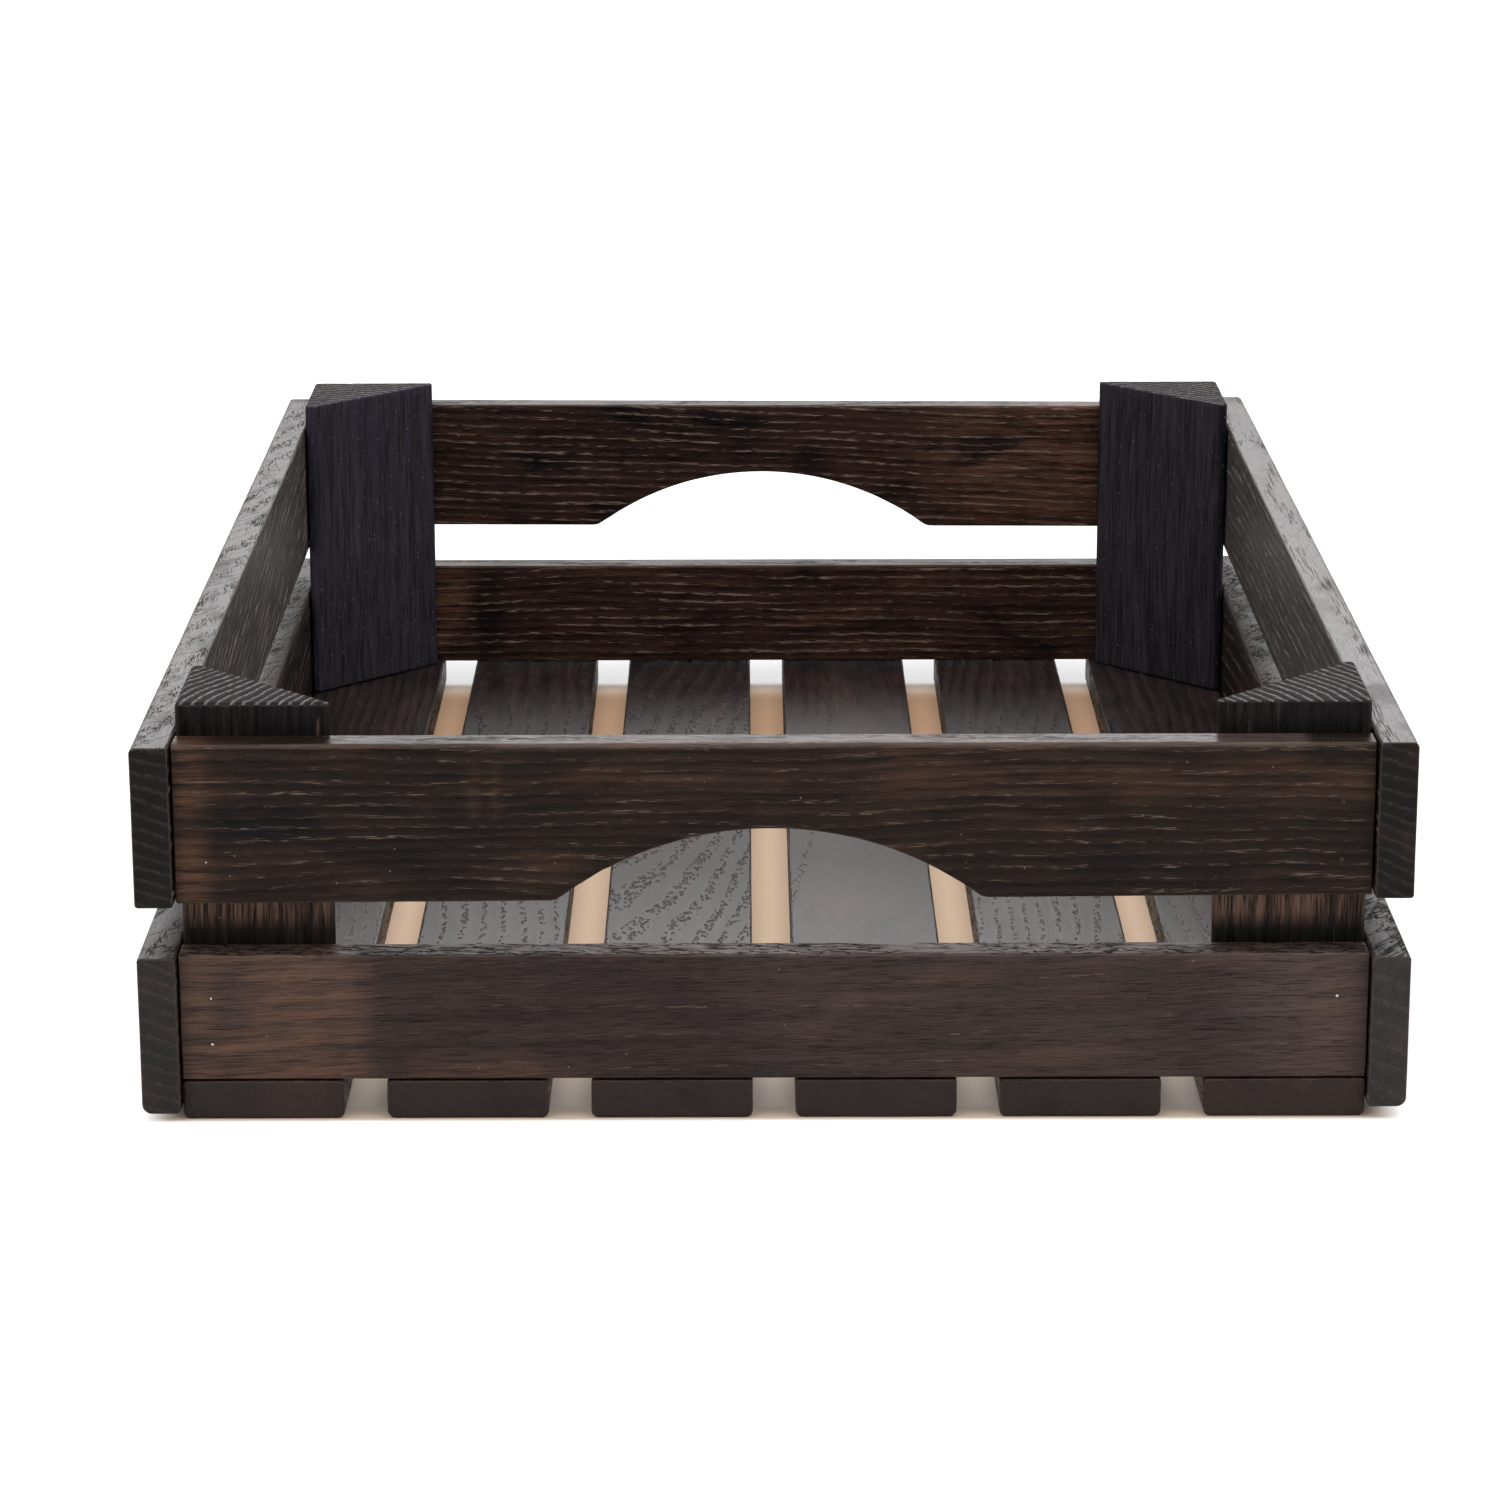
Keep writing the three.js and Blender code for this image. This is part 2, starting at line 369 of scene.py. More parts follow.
@dataclass(frozen=True)
class Wood:
    """A stained wood, from its colours to how it shines.

    The pores' length and width and the relief are in millimetres. The other numbers are shares.
    """

    name: str
    slot: str
    dark: Colour
    warm: Colour
    black: Colour
    # The pores' colour; where it is pale, on the walls, it is partly their own and partly a painted
    # highlight, light caught on their lips.
    pore: Colour
    edge_pore: Colour
    end: Colour
    end_ring: Colour
    worn: Colour
    # A pale veil laid over the wood as painted sheen: the reflection of the bright backdrop at a grazing
    # angle.
    painted_sheen: Colour = stain(98, 84, 80)
    speck: Colour = stain(150, 140, 130)
    pits: bool = False
    roughness: float = 0.38
    pore_roughness: float = 0.4
    end_roughness: float = 0.1
    pore_length: float = 4.0
    pore_width: float = 0.3
    pore_band: float = 0.5
    pore_amount: float = 1.0
    line_depth: float = 0.3
    ring_contrast: float = 0.22
    end_contrast: float = 0.35
    end_relief: float = 0.3
    cloud_warmth: float = 0.35
    cloud_black: float = 0.45
    relief: float = 0.12
    grain_relief: float = 1.0
    gloss: float = 1.22
    dust: float = 0.6

    def material(self, effects: "WoodEffects") -> bpy.types.Material:
        """Builds the material.

        Args:
            effects: the node groups that every wood shares.

        Returns:
            The material, which reads the attributes that Timber.store writes.
        """
        g, material = Graph.material(self.name)
        place = g.place_group(effects.drift, {"Log": g.attribute("log")})["Log"]
        warm_tone, black_tone, torn_share = g.split(g.attribute("tone"))
        width, pore_strength, streaks = g.split(g.attribute("habit"))
        # The middle number of film is the share of painted sheen.
        coarse, painted_sheen, band = g.split(g.attribute("film"))
        dusty, slant, _ = g.split(g.attribute("surface"))
        facing = [abs(part) for part in g.split(g.attribute("facing"))]
        end = facing[0].rise(0.55, 0.85)
        edge = facing[1].rise(0.6, 0.9)
        arris = facing[0].most(facing[1]).most(facing[2]).rise(0.99, 0.85)

        rings = g.place_group(effects.rings, {"Log": place, "Ring Width": width})
        pore_inputs = {
            "Log": place, "Phase": rings["Phase"], "Length": coarse * self.pore_length,
            "Width": coarse * self.pore_width, "Band": band * self.pore_band, "Amount": self.pore_amount,
        }
        pores = g.place_group(effects.pits if self.pits else effects.dashes, pore_inputs)["Pore"]
        streaked = g.place_group(effects.fibres, {"Log": place, "Coarse": coarse})
        fibres, lines = streaked["Fibre"], streaked["Line"]
        clouds = g.place_group(effects.clouds, {"Log": place})
        dust = g.place_group(effects.dust, {"Log": place, "Crowd": dusty})["Dust"]
        tears = g.place_group(effects.torn, {"Log": place, "Amount": torn_share, "Slant": slant})
        torn = tears["Torn"] * edge
        saw = g.place_group(effects.saw, {"Log": place})["Mark"]

        streaky = fibres.rise(0.25, 0.6) * 0.75 + 0.25
        warmth = (clouds["Warm"] * self.cloud_warmth + warm_tone * streaky).clamped()
        black = (clouds["Black"] * self.cloud_black + black_tone).clamped()
        # Painted sheen: the pale veil stands in for the backdrop's reflection at a grazing angle, streaked by
        # the grain.
        sheen_veil = (painted_sheen * (fibres * 1.2 + 0.45) * (1 - lines * 0.6)).clamped()
        shade = (fibres - 0.5) * streaks * 1.3 + 1.0 + rings["Early"] * self.ring_contrast
        shade = shade - rings["Late"] * self.ring_contrast - lines * streaks * self.line_depth
        colour = g.mix(black, g.mix(warmth, self.dark, self.warm), self.black)
        colour = g.mix(sheen_veil, g.scaled(colour, shade.most(0.15)), self.painted_sheen)
        face = (1 - edge) * (1 - end)
        # Under the painted sheen the pale pores show more strongly.
        filled = pores * (clouds["Filling"] * 0.75 + 0.25) * (painted_sheen * 2.0 + 1.0)
        # Pale pores on the wide faces: partly the wood's own, partly painted highlight where light catches
        # their lips.
        colour = g.mix((filled * face * pore_strength).clamped(), colour, self.pore)
        colour = g.mix((pores * edge * 0.5 + torn * 0.8).clamped(), colour, self.edge_pore)
        crest = (rings["Late"] * (saw * 1.2 + 0.1) * self.end_contrast).clamped()
        end_colour = g.mix(warmth * 0.5, g.mix(crest, self.end, self.end_ring), self.warm)
        # The ends take the painted sheen too.
        end_colour = g.mix(sheen_veil, g.mix(black * 0.5, end_colour, self.black), self.painted_sheen)
        colour = g.mix(end, colour, end_colour)
        colour = g.mix(arris * fibres * 0.5, colour, self.worn)
        colour = g.mix(dust * (1 - end) * self.dust, colour, self.speck)

        pitted = (pores * pore_strength).least(1.0)
        rough = pitted * self.pore_roughness + self.roughness + end * self.end_roughness
        rough = rough + fibres * 0.16 - 0.08 + torn * 0.45
        rough = rough + edge * (torn_share * 0.16 - 0.13 + clouds["Black"] * 0.14)
        grain = (fibres * 0.25 + rings["Late"] * 0.15 - lines * 0.2) * self.grain_relief - pitted
        ends = (rings["Late"] * (saw * 0.7 + 0.5) * 4.0 + saw * 1.2) * self.end_relief
        height = g.between(end, grain - torn * 2.5, ends)
        bump = g.node("ShaderNodeBump", {"Height": height, "Distance": self.relief * MM, "Strength": 1.0})
        inputs = {"Base Color": colour, "Roughness": rough.clamped(), "Normal": bump, "IOR": self.gloss}
        g.make("ShaderNodeOutputMaterial", {"Surface": g.node("ShaderNodeBsdfPrincipled", inputs)})
        return material


class WoodEffects:
    """The node groups that draw the wood's figure. Each reads the timber's place in its log."""

    def __init__(self) -> None:
        """Builds each group once."""
        self.drift = self.build_drift()
        self.rings = self.build_rings()
        self.dashes = self.build_dashes()
        self.pits = self.build_pits()
        self.saw = self.build_saw()
        self.fibres = self.build_fibres()
        self.clouds = self.build_clouds()
        self.dust = self.build_dust()
        self.torn = self.build_torn()

    @staticmethod
    def start(name: str, *inputs: str) -> list[Any]:
        """Starts a group, and gives it, the place in the log and its other inputs."""
        g = Graph.group(name)
        return [g, g.takes("Log", "Vector"), *g.takes_each(*inputs)]

    @staticmethod
    def noise(place: Wire, along: Term, across: Term, detail: float, roughness: float, seed: float) -> Wire:
        """Noise whose blobs have one size along the grain and another across it."""
        return place.graph.noise(place, (along, across, across), detail, roughness, seed)

    def build_drift(self) -> Graph:
        """The slow wander of the grain, which bends everything that follows it.

        Returns:
            The group.
        """
        g, place = self.start("Grain drift")
        x, y, z = g.split(place)
        up = self.noise(place, 55, 45, 1.0, 0.4, 41.7) - 0.5
        out = self.noise(place, 70, 45, 1.0, 0.4, 47.1) - 0.5
        g.gives("Log", g.join(x, y + up * 3.5, z + out * 2.5), "Vector")
        return g

    def build_rings(self) -> Graph:
        """Growth rings round the pith: the phase within a ring, and its early and late wood.

        Returns:
            The group.
        """
        g, place, width = self.start("Growth rings", "Ring Width")
        _, y, z = g.split(place)
        slow = self.noise(place, 110, 30, 1.0, 0.5, 3.1) - 0.5
        quick = self.noise(place, 16, 4, 2.0, 0.6, 5.7) - 0.5
        phase = ((y.hypotenuse(z) + slow * 6.0 + quick * 1.3) / width).apply("FRACT")
        g.gives("Phase", phase)
        g.gives("Early", phase.rise(0.0, 0.15) * phase.rise(0.6, 0.3))
        g.gives("Late", phase.rise(0.55, 0.85) * phase.rise(1.0, 0.93))
        return g

    def pore_group(self, name: str) -> tuple[Graph, Wire, Wire, Wire, Wire]:
        """Starts a group of pores.

        Args:
            name: the group's name.

        Returns:
            The group, the place in the log, the pores' length and width, and how crowded they are.
        """
        g, place, phase, band = self.start(name, "Phase", "Band")
        length, width, amount = g.takes_each("Length", "Width", "Amount")
        early = phase.rise(0.0, 0.08) * phase.rise(band, band * 0.5)
        return g, place, length, width, early * amount

    def build_dashes(self) -> Graph:
        """Pores cut along their length, as thin broken dashes in the early wood.

        Returns:
            The group.
        """
        g, place, length, width, crowd = self.pore_group("Pore dashes")
        strands = self.noise(place, length, width, 1.0, 0.4, 9.3)
        clump = self.noise(place, 30, 3, 1.0, 0.5, 13.9).rise(0.3, 0.65)
        start = 0.72 - crowd * (clump * 0.14 + 0.06)
        g.gives("Pore", strands.rise(start, start + 0.09))
        return g

    def build_pits(self) -> Graph:
        """Pores cut at a slant, as short pits crowded in the early wood.

        Returns:
            The group.
        """
        g, place, length, width, crowd = self.pore_group("Pore pits")
        x, y, z = g.split(place)
        bend = self.noise(place, 3.0, 1.5, 1.0, 0.5, 7.7) - 0.5
        spots = g.join((x + bend * 1.5) / length, (y + bend * 0.6) / width, z / width)
        gap = g.node("ShaderNodeTexVoronoi", {"Vector": spots, "Scale": 1.0}, voronoi_dimensions="3D")
        room = (crowd * 0.5).most(0.001)
        g.gives("Pore", (gap / room).rise(1.0, 0.6) * crowd.rise(0.3, 0.6))
        return g

    def build_saw(self) -> Graph:
        """The marks that the saw left across the end grain.

        Returns:
            The group.
        """
        g, place = self.start("Saw marks")
        _, y, z = g.split(place)
        across = g.join(y * 0.8 - z * 0.6, y * 0.6 + z * 0.8, 0.0)
        g.gives("Mark", g.noise(across, (0.7, 2.2, 1.0), 2.0, 0.6, 4.4).rise(0.3, 0.7))
        return g

    def build_fibres(self) -> Graph:
        """Fine streaks along the grain, and thin dark lines among them.

        Returns:
            The group.
        """
        g, place, coarse = self.start("Fibre streaks", "Coarse")
        fine = self.noise(place, coarse * 9.0, coarse * 0.4, 3.0, 0.7, 1.3)
        broad = self.noise(place, 45, 2.0, 2.0, 0.5, 2.9)
        dark = self.noise(place, coarse * 6.5, coarse * 0.3, 1.0, 0.5, 33.3)
        g.gives("Fibre", ((fine - 0.5) * 1.3 + (broad - 0.5) * 0.8 + 0.5).clamped())
        g.gives("Line", dark.rise(0.55, 0.66))
        return g

    def build_clouds(self) -> Graph:
        """Broad patches where the stain dried warmer or blacker, or where it filled the pores.

        Returns:
            The group.
        """
        g, place = self.start("Stain clouds")
        g.gives("Warm", self.noise(place, 45, 13, 3.0, 0.55, 11.1).rise(0.5, 0.75))
        g.gives("Black", self.noise(place, 26, 12, 2.0, 0.5, 17.7).rise(0.52, 0.7))
        g.gives("Filling", self.noise(place, 11, 1.4, 2.0, 0.6, 15.3).rise(0.38, 0.66))
        return g

    def build_dust(self) -> Graph:
        """Specks of pale dust, each far smaller than a millimetre.

        Returns:
            The group.
        """
        g, place, crowd = self.start("Dust specks", "Crowd")
        cells = g.make("ShaderNodeTexVoronoi", {"Vector": place, "Scale": 0.8}, voronoi_dimensions="3D")
        gap = Wire(g, cells.outputs["Distance"])
        chance, size, _ = g.split(Wire(g, cells.outputs["Color"]))
        reach = size * 0.16 + 0.1
        g.gives("Dust", gap.rise(reach, reach * 0.5) * chance.rise(1.0 - crowd, 1.0))
        return g

    def build_torn(self) -> Graph:
        """Torn fibres on a sawn edge: slanting cracks in clusters, and specks where it is worst.

        Returns:
            The group.
        """
        g, place, amount, slant = self.start("Torn edge", "Amount", "Slant")
        x, y, z = g.split(place)
        cosine, sine = slant.apply("COSINE"), slant.apply("SINE")
        slanted = g.join(x * cosine + z * sine, z * cosine - x * sine, y)
        cracks = abs(self.noise(slanted, 14.0, 1.5, 2.0, 0.5, 21.3) - 0.5).rise(0.045, 0.01)
        specks = self.noise(slanted, 2.4, 0.8, 2.0, 0.6, 31.1).rise(0.54, 0.62)
        sweep = abs(self.noise(slanted, 22.0, 6.0, 2.0, 0.5, 37.3) - 0.5).rise(0.025, 0.0)
        cluster = self.noise(place, 17, 6, 2.0, 0.5, 27.9)
        reach = 0.72 - amount * 0.34
        deep = cluster.rise(reach, reach + 0.1) * (amount * 0.5 + 0.5)
        worst = cluster.rise(reach + 0.06, reach + 0.16) * (amount - 0.35).most(0.0) * 1.5
        g.gives("Torn", (cracks * deep).most(specks * worst).most(sweep * 0.7 * amount.least(0.6)))
        return g


class Piece:
    """What every made piece has in common: its mesh, its body and what it stands for."""

    @staticmethod
    def from_tree(
        name: str, tree: Graph, values: Mapping[str, Any], seats: bpy.types.Mesh | None = None
    ) -> bpy.types.Object:
        """Runs a geometry tree and keeps its result as a plain mesh.

        Args:
            name: the piece's name.
            tree: the tree that makes the shape.
            values: the tree's inputs, by name.
            seats: a mesh whose points the tree reads, if it needs any.

        Returns:
            The piece, at the origin and with no modifier.
        """
        piece = bpy.data.objects.new(name, seats or bpy.data.meshes.new(name))
        bpy.context.scene.collection.objects.link(piece)
        modifier = piece.modifiers.new(tree.tree.name, "NODES")
        modifier.node_group = tree.tree
        for item in tree.tree.interface.items_tree:
            if item.in_out == "INPUT" and item.name in values:
                modifier[item.identifier] = values[item.name]
        graph = bpy.context.evaluated_depsgraph_get()
        made = bpy.data.meshes.new_from_object(
            piece.evaluated_get(graph), preserve_all_data_layers=True, depsgraph=graph
        )
        piece.modifiers.remove(modifier)
        piece.data = made
        made.name = name
        return piece

    @staticmethod
    def settle(piece: bpy.types.Object, slot: str, nodes: Sequence[str]) -> None:
        """Ties a piece to the frame and reports it.

        Args:
            piece: the finished piece.
            slot: the record's material slot that its finish belongs to; not used.
            nodes: the solids that it stands for.
        """
        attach(piece, "root")
        if nodes:
            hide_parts(*nodes)
        log.info("%s: %d faces, for %s", piece.name, len(piece.data.polygons), ", ".join(nodes) or "no solid")


class TimberTrees:
    """The geometry trees of the slats, the posts and the brads, and the names of their inputs.

    EDGE_ROWS is how many rows of points a rounded edge takes, and RIM the gap after them. LIP is the
    reach of the hand hold's tangent lips, and DOME the height of a brad's head as a share of its
    radius. TINY stands in for zero below a fraction.
    """

    KIND = "GeometryNodeTree"
    SIZES = ("Length", "Width", "Thickness")
    STEPS = ("Length Steps", "Width Steps", "Thickness Steps")
    EDGES = ("High Edge Radius", "Low Edge Radius", "Inner Edge Radius")
    ENDS = ("Low Left", "Low Right", "High Left", "High Right")
    HAND_HOLD = ("Hand Hold Chord", "Hand Hold Rise", "Hand Hold Shift")
    SECTION = ("Tip Flat", "Heel Radius", "Tip Radius")
    WEAR = ("End Ease", "Wear", "Wave")
    BRAD = ("Length", "Shank Radius", "Head Radius", "Head Thickness", "Point Length")

    EDGE_ROWS = 3
    RIM = 0.3 * MM
    LIP = 1.6 * MM
    FILLET_POINTS = 5
    BRAD_SIDES = 16
    CAP_RINGS = 3
    BRAD_ROWS = 40
    HEAD_ROWS = 4
    DOME = 0.14
    TINY = 1e-7

    def __init__(self) -> None:
        """Builds each tree once."""
        self.slat = self.build_slat()
        self.post = self.build_post()
        self.brads = self.build_brads()

    def spread(self, unit: Wire, steps: Wire, size: Wire, radius: Wire) -> Wire:
        """Lays rows close together where a rounded edge needs them, and evenly between.

        Args:
            unit: the row's place on a cube that is one unit wide.
            steps: how many steps there are from edge to edge.
            size: the size from edge to edge.
            radius: the radius of the rounded edges.

        Returns:
            The row's place on the timber.
        """
        index = ((unit + 0.5) * steps).apply("ROUND")
        row = index.least(steps - index)
        near = row.least(self.EDGE_ROWS) * radius / self.EDGE_ROWS
        near = near + (row - self.EDGE_ROWS).clamped() * self.RIM
        share = (row - (self.EDGE_ROWS + 1)).most(0.0) / (steps * 0.5 - (self.EDGE_ROWS + 1))
        far = share * (size * 0.5 - radius - self.RIM)
        return unit.apply("SIGN") * (size * 0.5 - near - far)

    @staticmethod
    def quarter_round(ease: Wire, share: Wire) -> Wire:
        """How far an eased edge stands back, at a share of the way round it."""
        return ease * (1 - (1 - share * share).most(0.0).apply("SQRT"))

    def hand_hold(self, g: Graph, x: Wire) -> Wire:
        """The hand hold, an arc that meets the slat's low edge in a small tangent lip at each end.

        Args:
            g: the slat's tree.
            x: the place along the slat.

        Returns:
            How far the low edge is lifted there.
        """
        chord, rise, shift = g.takes_each(*self.HAND_HOLD)
        radius = chord * chord / (rise.most(self.TINY) * 8.0) + rise * 0.5
        from_middle = x - shift
        arc = (radius * radius - from_middle * from_middle).most(0.0).apply("SQRT")
        return g.math("SMOOTH_MAX", arc - radius + rise, 0.0, self.LIP) * rise.rise(0.0, MM)

    def build_slat(self) -> Graph:
        """A slat with rounded long edges and eased ends, and a hand hold where it has a rise.

        Returns:
            The tree.
        """
        g = Graph.group("Slat", self.KIND)
        length, width, thickness = sizes = g.takes_each(*self.SIZES)
        steps = g.takes_each(*self.STEPS, kind="Int")
        high_radius, low_radius, inner_radius = g.takes_each(*self.EDGES)
        low_left, low_right, high_left, high_right = g.takes_each(*self.ENDS)
        ease = g.takes("End Ease")

        counts = {f"Vertices {way}": step + 1 for way, step in zip("XYZ", steps)}
        cube = g.node("GeometryNodeMeshCube", {"Size": (1.0, 1.0, 1.0), **counts})
        unit = g.split(g.node("GeometryNodeInputPosition"))
        outer_radius = g.between(unit[1].rise(-0.001, 0.001), low_radius, high_radius)
        radius = g.between(unit[2].rise(0.0, 0.001), inner_radius, outer_radius)
        x, *section = (self.spread(*row) for row in zip(unit, steps, sizes, (ease, radius, radius)))

        flats = [size * 0.5 - radius for size in (width, thickness)]
        pasts = [(abs(part) - flat).most(0.0) for part, flat in zip(section, flats)]
        pull = pasts[0].most(pasts[1]) / pasts[0].hypotenuse(pasts[1]).most(self.TINY)
        inset = self.quarter_round(ease, ((abs(x) - length * 0.5 + ease) / ease).clamped())
        y, z = (
            part.apply("SIGN") * (abs(part).least(flat) + past * pull) * (1 - inset * 2.0 / size)
            for part, flat, past, size in zip(section, flats, pasts, (width, thickness))
        )
        lift = ((width * 0.5 - high_radius - y) / (width - high_radius - low_radius)).clamped()
        along = x / length + 0.5
        low = g.between(along, low_left, low_right)
        high = g.between(along, high_left, high_right)
        y = y + lift * (self.hand_hold(g, x) + low) - (1 - lift) * high
        shaped = g.node("GeometryNodeSetPosition", {"Geometry": cube, "Position": g.join(x, y, z)})
        facing = [abs(part) for part in g.split(g.node("GeometryNodeInputNormal"))]
        arris = ((1 - facing[0].most(facing[1]).most(facing[2])) * 3.4).clamped()
        return self.finished(g, self.worn(g, shaped, (7, 3, 3), (0.42, 0.75), (60, 22, 22), arris))

    @staticmethod
    def worn(g: Graph, shape: Wire, chip: Triple, bare: Pair, wave: Triple, where: Term) -> Wire:
        """Chips a timber and lets its faces wander, always inwards.

        Args:
            g: the timber's tree.
            shape: the timber.
            chip: the size of a chip along each axis, in millimetres.
            bare: the values of the noise between which a chip deepens.
            wave: the size of a wave along each axis, in millimetres.
            where: how much of the chips each point takes.

        Returns:
            The worn timber.
        """
        wear, depth, seed = g.takes_each("Wear", "Wave", "Seed")
        place = g.node("GeometryNodeInputPosition")
        chips = g.noise(place, [size * MM for size in chip], 3.0, 0.6, seed).rise(*bare)
        waves = g.noise(place, [size * MM for size in wave], 1.0, 0.5, seed)
        inwards = (chips * where * wear + waves * depth) * -1.0
        push = g.scaled(g.node("GeometryNodeInputNormal"), inwards)
        return g.node("GeometryNodeSetPosition", {"Geometry": shape, "Offset": push})

    @staticmethod
    def finished(g: Graph, shape: Wire) -> Graph:
        """Ends a tree: its shape is shaded smooth, made real and given its material.

        Args:
            g: the tree.
            shape: the shape that it has made.

        Returns:
            The tree.
        """
        smooth = g.node("GeometryNodeSetShadeSmooth", {"Geometry": shape})
        real = g.node("GeometryNodeRealizeInstances", {"Geometry": smooth})
        inputs = {"Geometry": real, "Material": g.takes("Finish", "Material")}
        g.gives("Shape", g.node("GeometryNodeSetMaterial", inputs), "Geometry")
        return g

    def build_post(self) -> Graph:
        """A three-sided post: the outline of its section, swept up its height, with its ends eased.

        Returns:
            The tree.
        """
        g = Graph.group("Post", self.KIND)
        leg, height, ease = g.takes_each("Leg", "Height", "End Ease")
        tip, heel_radius, tip_radius = g.takes_each(*self.SECTION)
        around, rows = g.takes_each("Points Around", "Rows", kind="Int")

        outline = ((0.0, 0.0), (leg, 0.0), (leg, tip), (tip, leg), (0.0, leg))
        ring = g.node("GeometryNodeMeshCircle", {"Vertices": len(outline), "Radius": 1.0}, fill_type="NONE")
        index = g.node("GeometryNodeInputIndex")
        place = g.join(*outline[-1], 0.0)
        for number, corner in reversed(list(enumerate(outline[:-1]))):
            here = g.math("COMPARE", index, number, 0.1)
            place = g.mix(here, place, g.join(*corner, 0.0), Blend.VECTOR)
        section = g.node("GeometryNodeSetPosition", {"Geometry": ring, "Position": place})
        radius = g.between(g.math("COMPARE", index, 0.0, 0.1), tip_radius, heel_radius)
        curve = g.node("GeometryNodeMeshToCurve", {"Mesh": section})
        fillet = {"Curve": curve, "Radius": radius, "Limit Radius": True, "Count": self.FILLET_POINTS}
        rounded = g.node("GeometryNodeFilletCurve", fillet, mode="POLY")
        profile = g.node("GeometryNodeResampleCurve", {"Curve": rounded, "Count": around})
        ends = {"Start": (0.0, 0.0, 0.0), "End": g.join(0.0, 0.0, height)}
        line = g.node("GeometryNodeCurvePrimitiveLine", ends)
        spine = g.node("GeometryNodeResampleCurve", {"Curve": line, "Count": rows})
        sweep = {"Curve": spine, "Profile Curve": profile, "Fill Caps": True}
        swept = g.node("GeometryNodeCurveToMesh", sweep)

        x, y, z = g.split(g.node("GeometryNodeInputPosition"))
        last = rows - 1.0
        row = (z / height * last).apply("ROUND")
        from_end = row.least(last - row)
        near = from_end.least(self.EDGE_ROWS) / self.EDGE_ROWS * ease
        step = (height - ease * 2.0) / (rows - (2 * self.EDGE_ROWS + 1))
        level = near + (from_end - self.EDGE_ROWS).most(0.0) * step
        upper = g.math("GREATER_THAN", row, last * 0.5)
        inset = self.quarter_round(ease, (1 - from_end / self.EDGE_ROWS).clamped())
        out_x, out_y, _ = g.split(g.node("GeometryNodeInputNormal"))
        flat = out_x.hypotenuse(out_y).most(self.TINY)
        new_z = g.between(upper, level, height - level)
        position = g.join(x - out_x / flat * inset, y - out_y / flat * inset, new_z)
        eased = g.node("GeometryNodeSetPosition", {"Geometry": swept, "Position": position})
        return self.finished(g, self.worn(g, eased, (3, 3, 8), (0.55, 0.8), (16, 16, 50), 1.0))

    def build_brads(self) -> Graph:
        """A brad on every point of the mesh that the tree is given, driven in along z.

        Returns:
            The tree.
        """
        g = Graph.group("Brads", self.KIND)
        seats = g.takes("Seats", "Geometry")
        length, shank, head, head_thickness, point = g.takes_each(*self.BRAD)
        inputs = {
            "Vertices": self.BRAD_SIDES, "Side Segments": self.BRAD_ROWS, "Fill Segments": self.CAP_RINGS,
            "Radius": 1.0, "Depth": length,
        }
        rod = g.node("GeometryNodeMeshCylinder", inputs, fill_type="TRIANGLE_FAN")
        x, y, z = g.split(g.node("GeometryNodeInputPosition"))
        radial = x.hypotenuse(y)
        row = ((length * 0.5 - z) / length * self.BRAD_ROWS).apply("ROUND")
        depth = g.between((row / self.HEAD_ROWS).clamped(), 0.0, head_thickness)
        below = (row - self.HEAD_ROWS).most(0.0) / (self.BRAD_ROWS - self.HEAD_ROWS)
        depth = depth + below * (length - head_thickness)
        in_head = g.math("LESS_THAN", row, self.HEAD_ROWS - 0.5)
        taper = ((length - depth) / point).clamped()
        round_off = 1 - (1 - (row + 1.0) * 0.5).most(0.0) * 0.22
        spread = g.between(in_head, shank * taper.most(0.08), head * round_off)
        dome = (1 - radial * radial) * g.math("LESS_THAN", row, 0.5) * self.DOME * head
        position = g.join(x * spread, y * spread, dome - depth - self.DOME * head)
        marks = {"Geometry": rod, "Name": "from_middle", "Value": radial}
        marked = g.node("GeometryNodeStoreNamedAttribute", marks, data_type="FLOAT", domain="POINT")
        brad = g.node("GeometryNodeSetPosition", {"Geometry": marked, "Position": position})
        return self.finished(g, g.node("GeometryNodeInstanceOnPoints", {"Points": seats, "Instance": brad}))


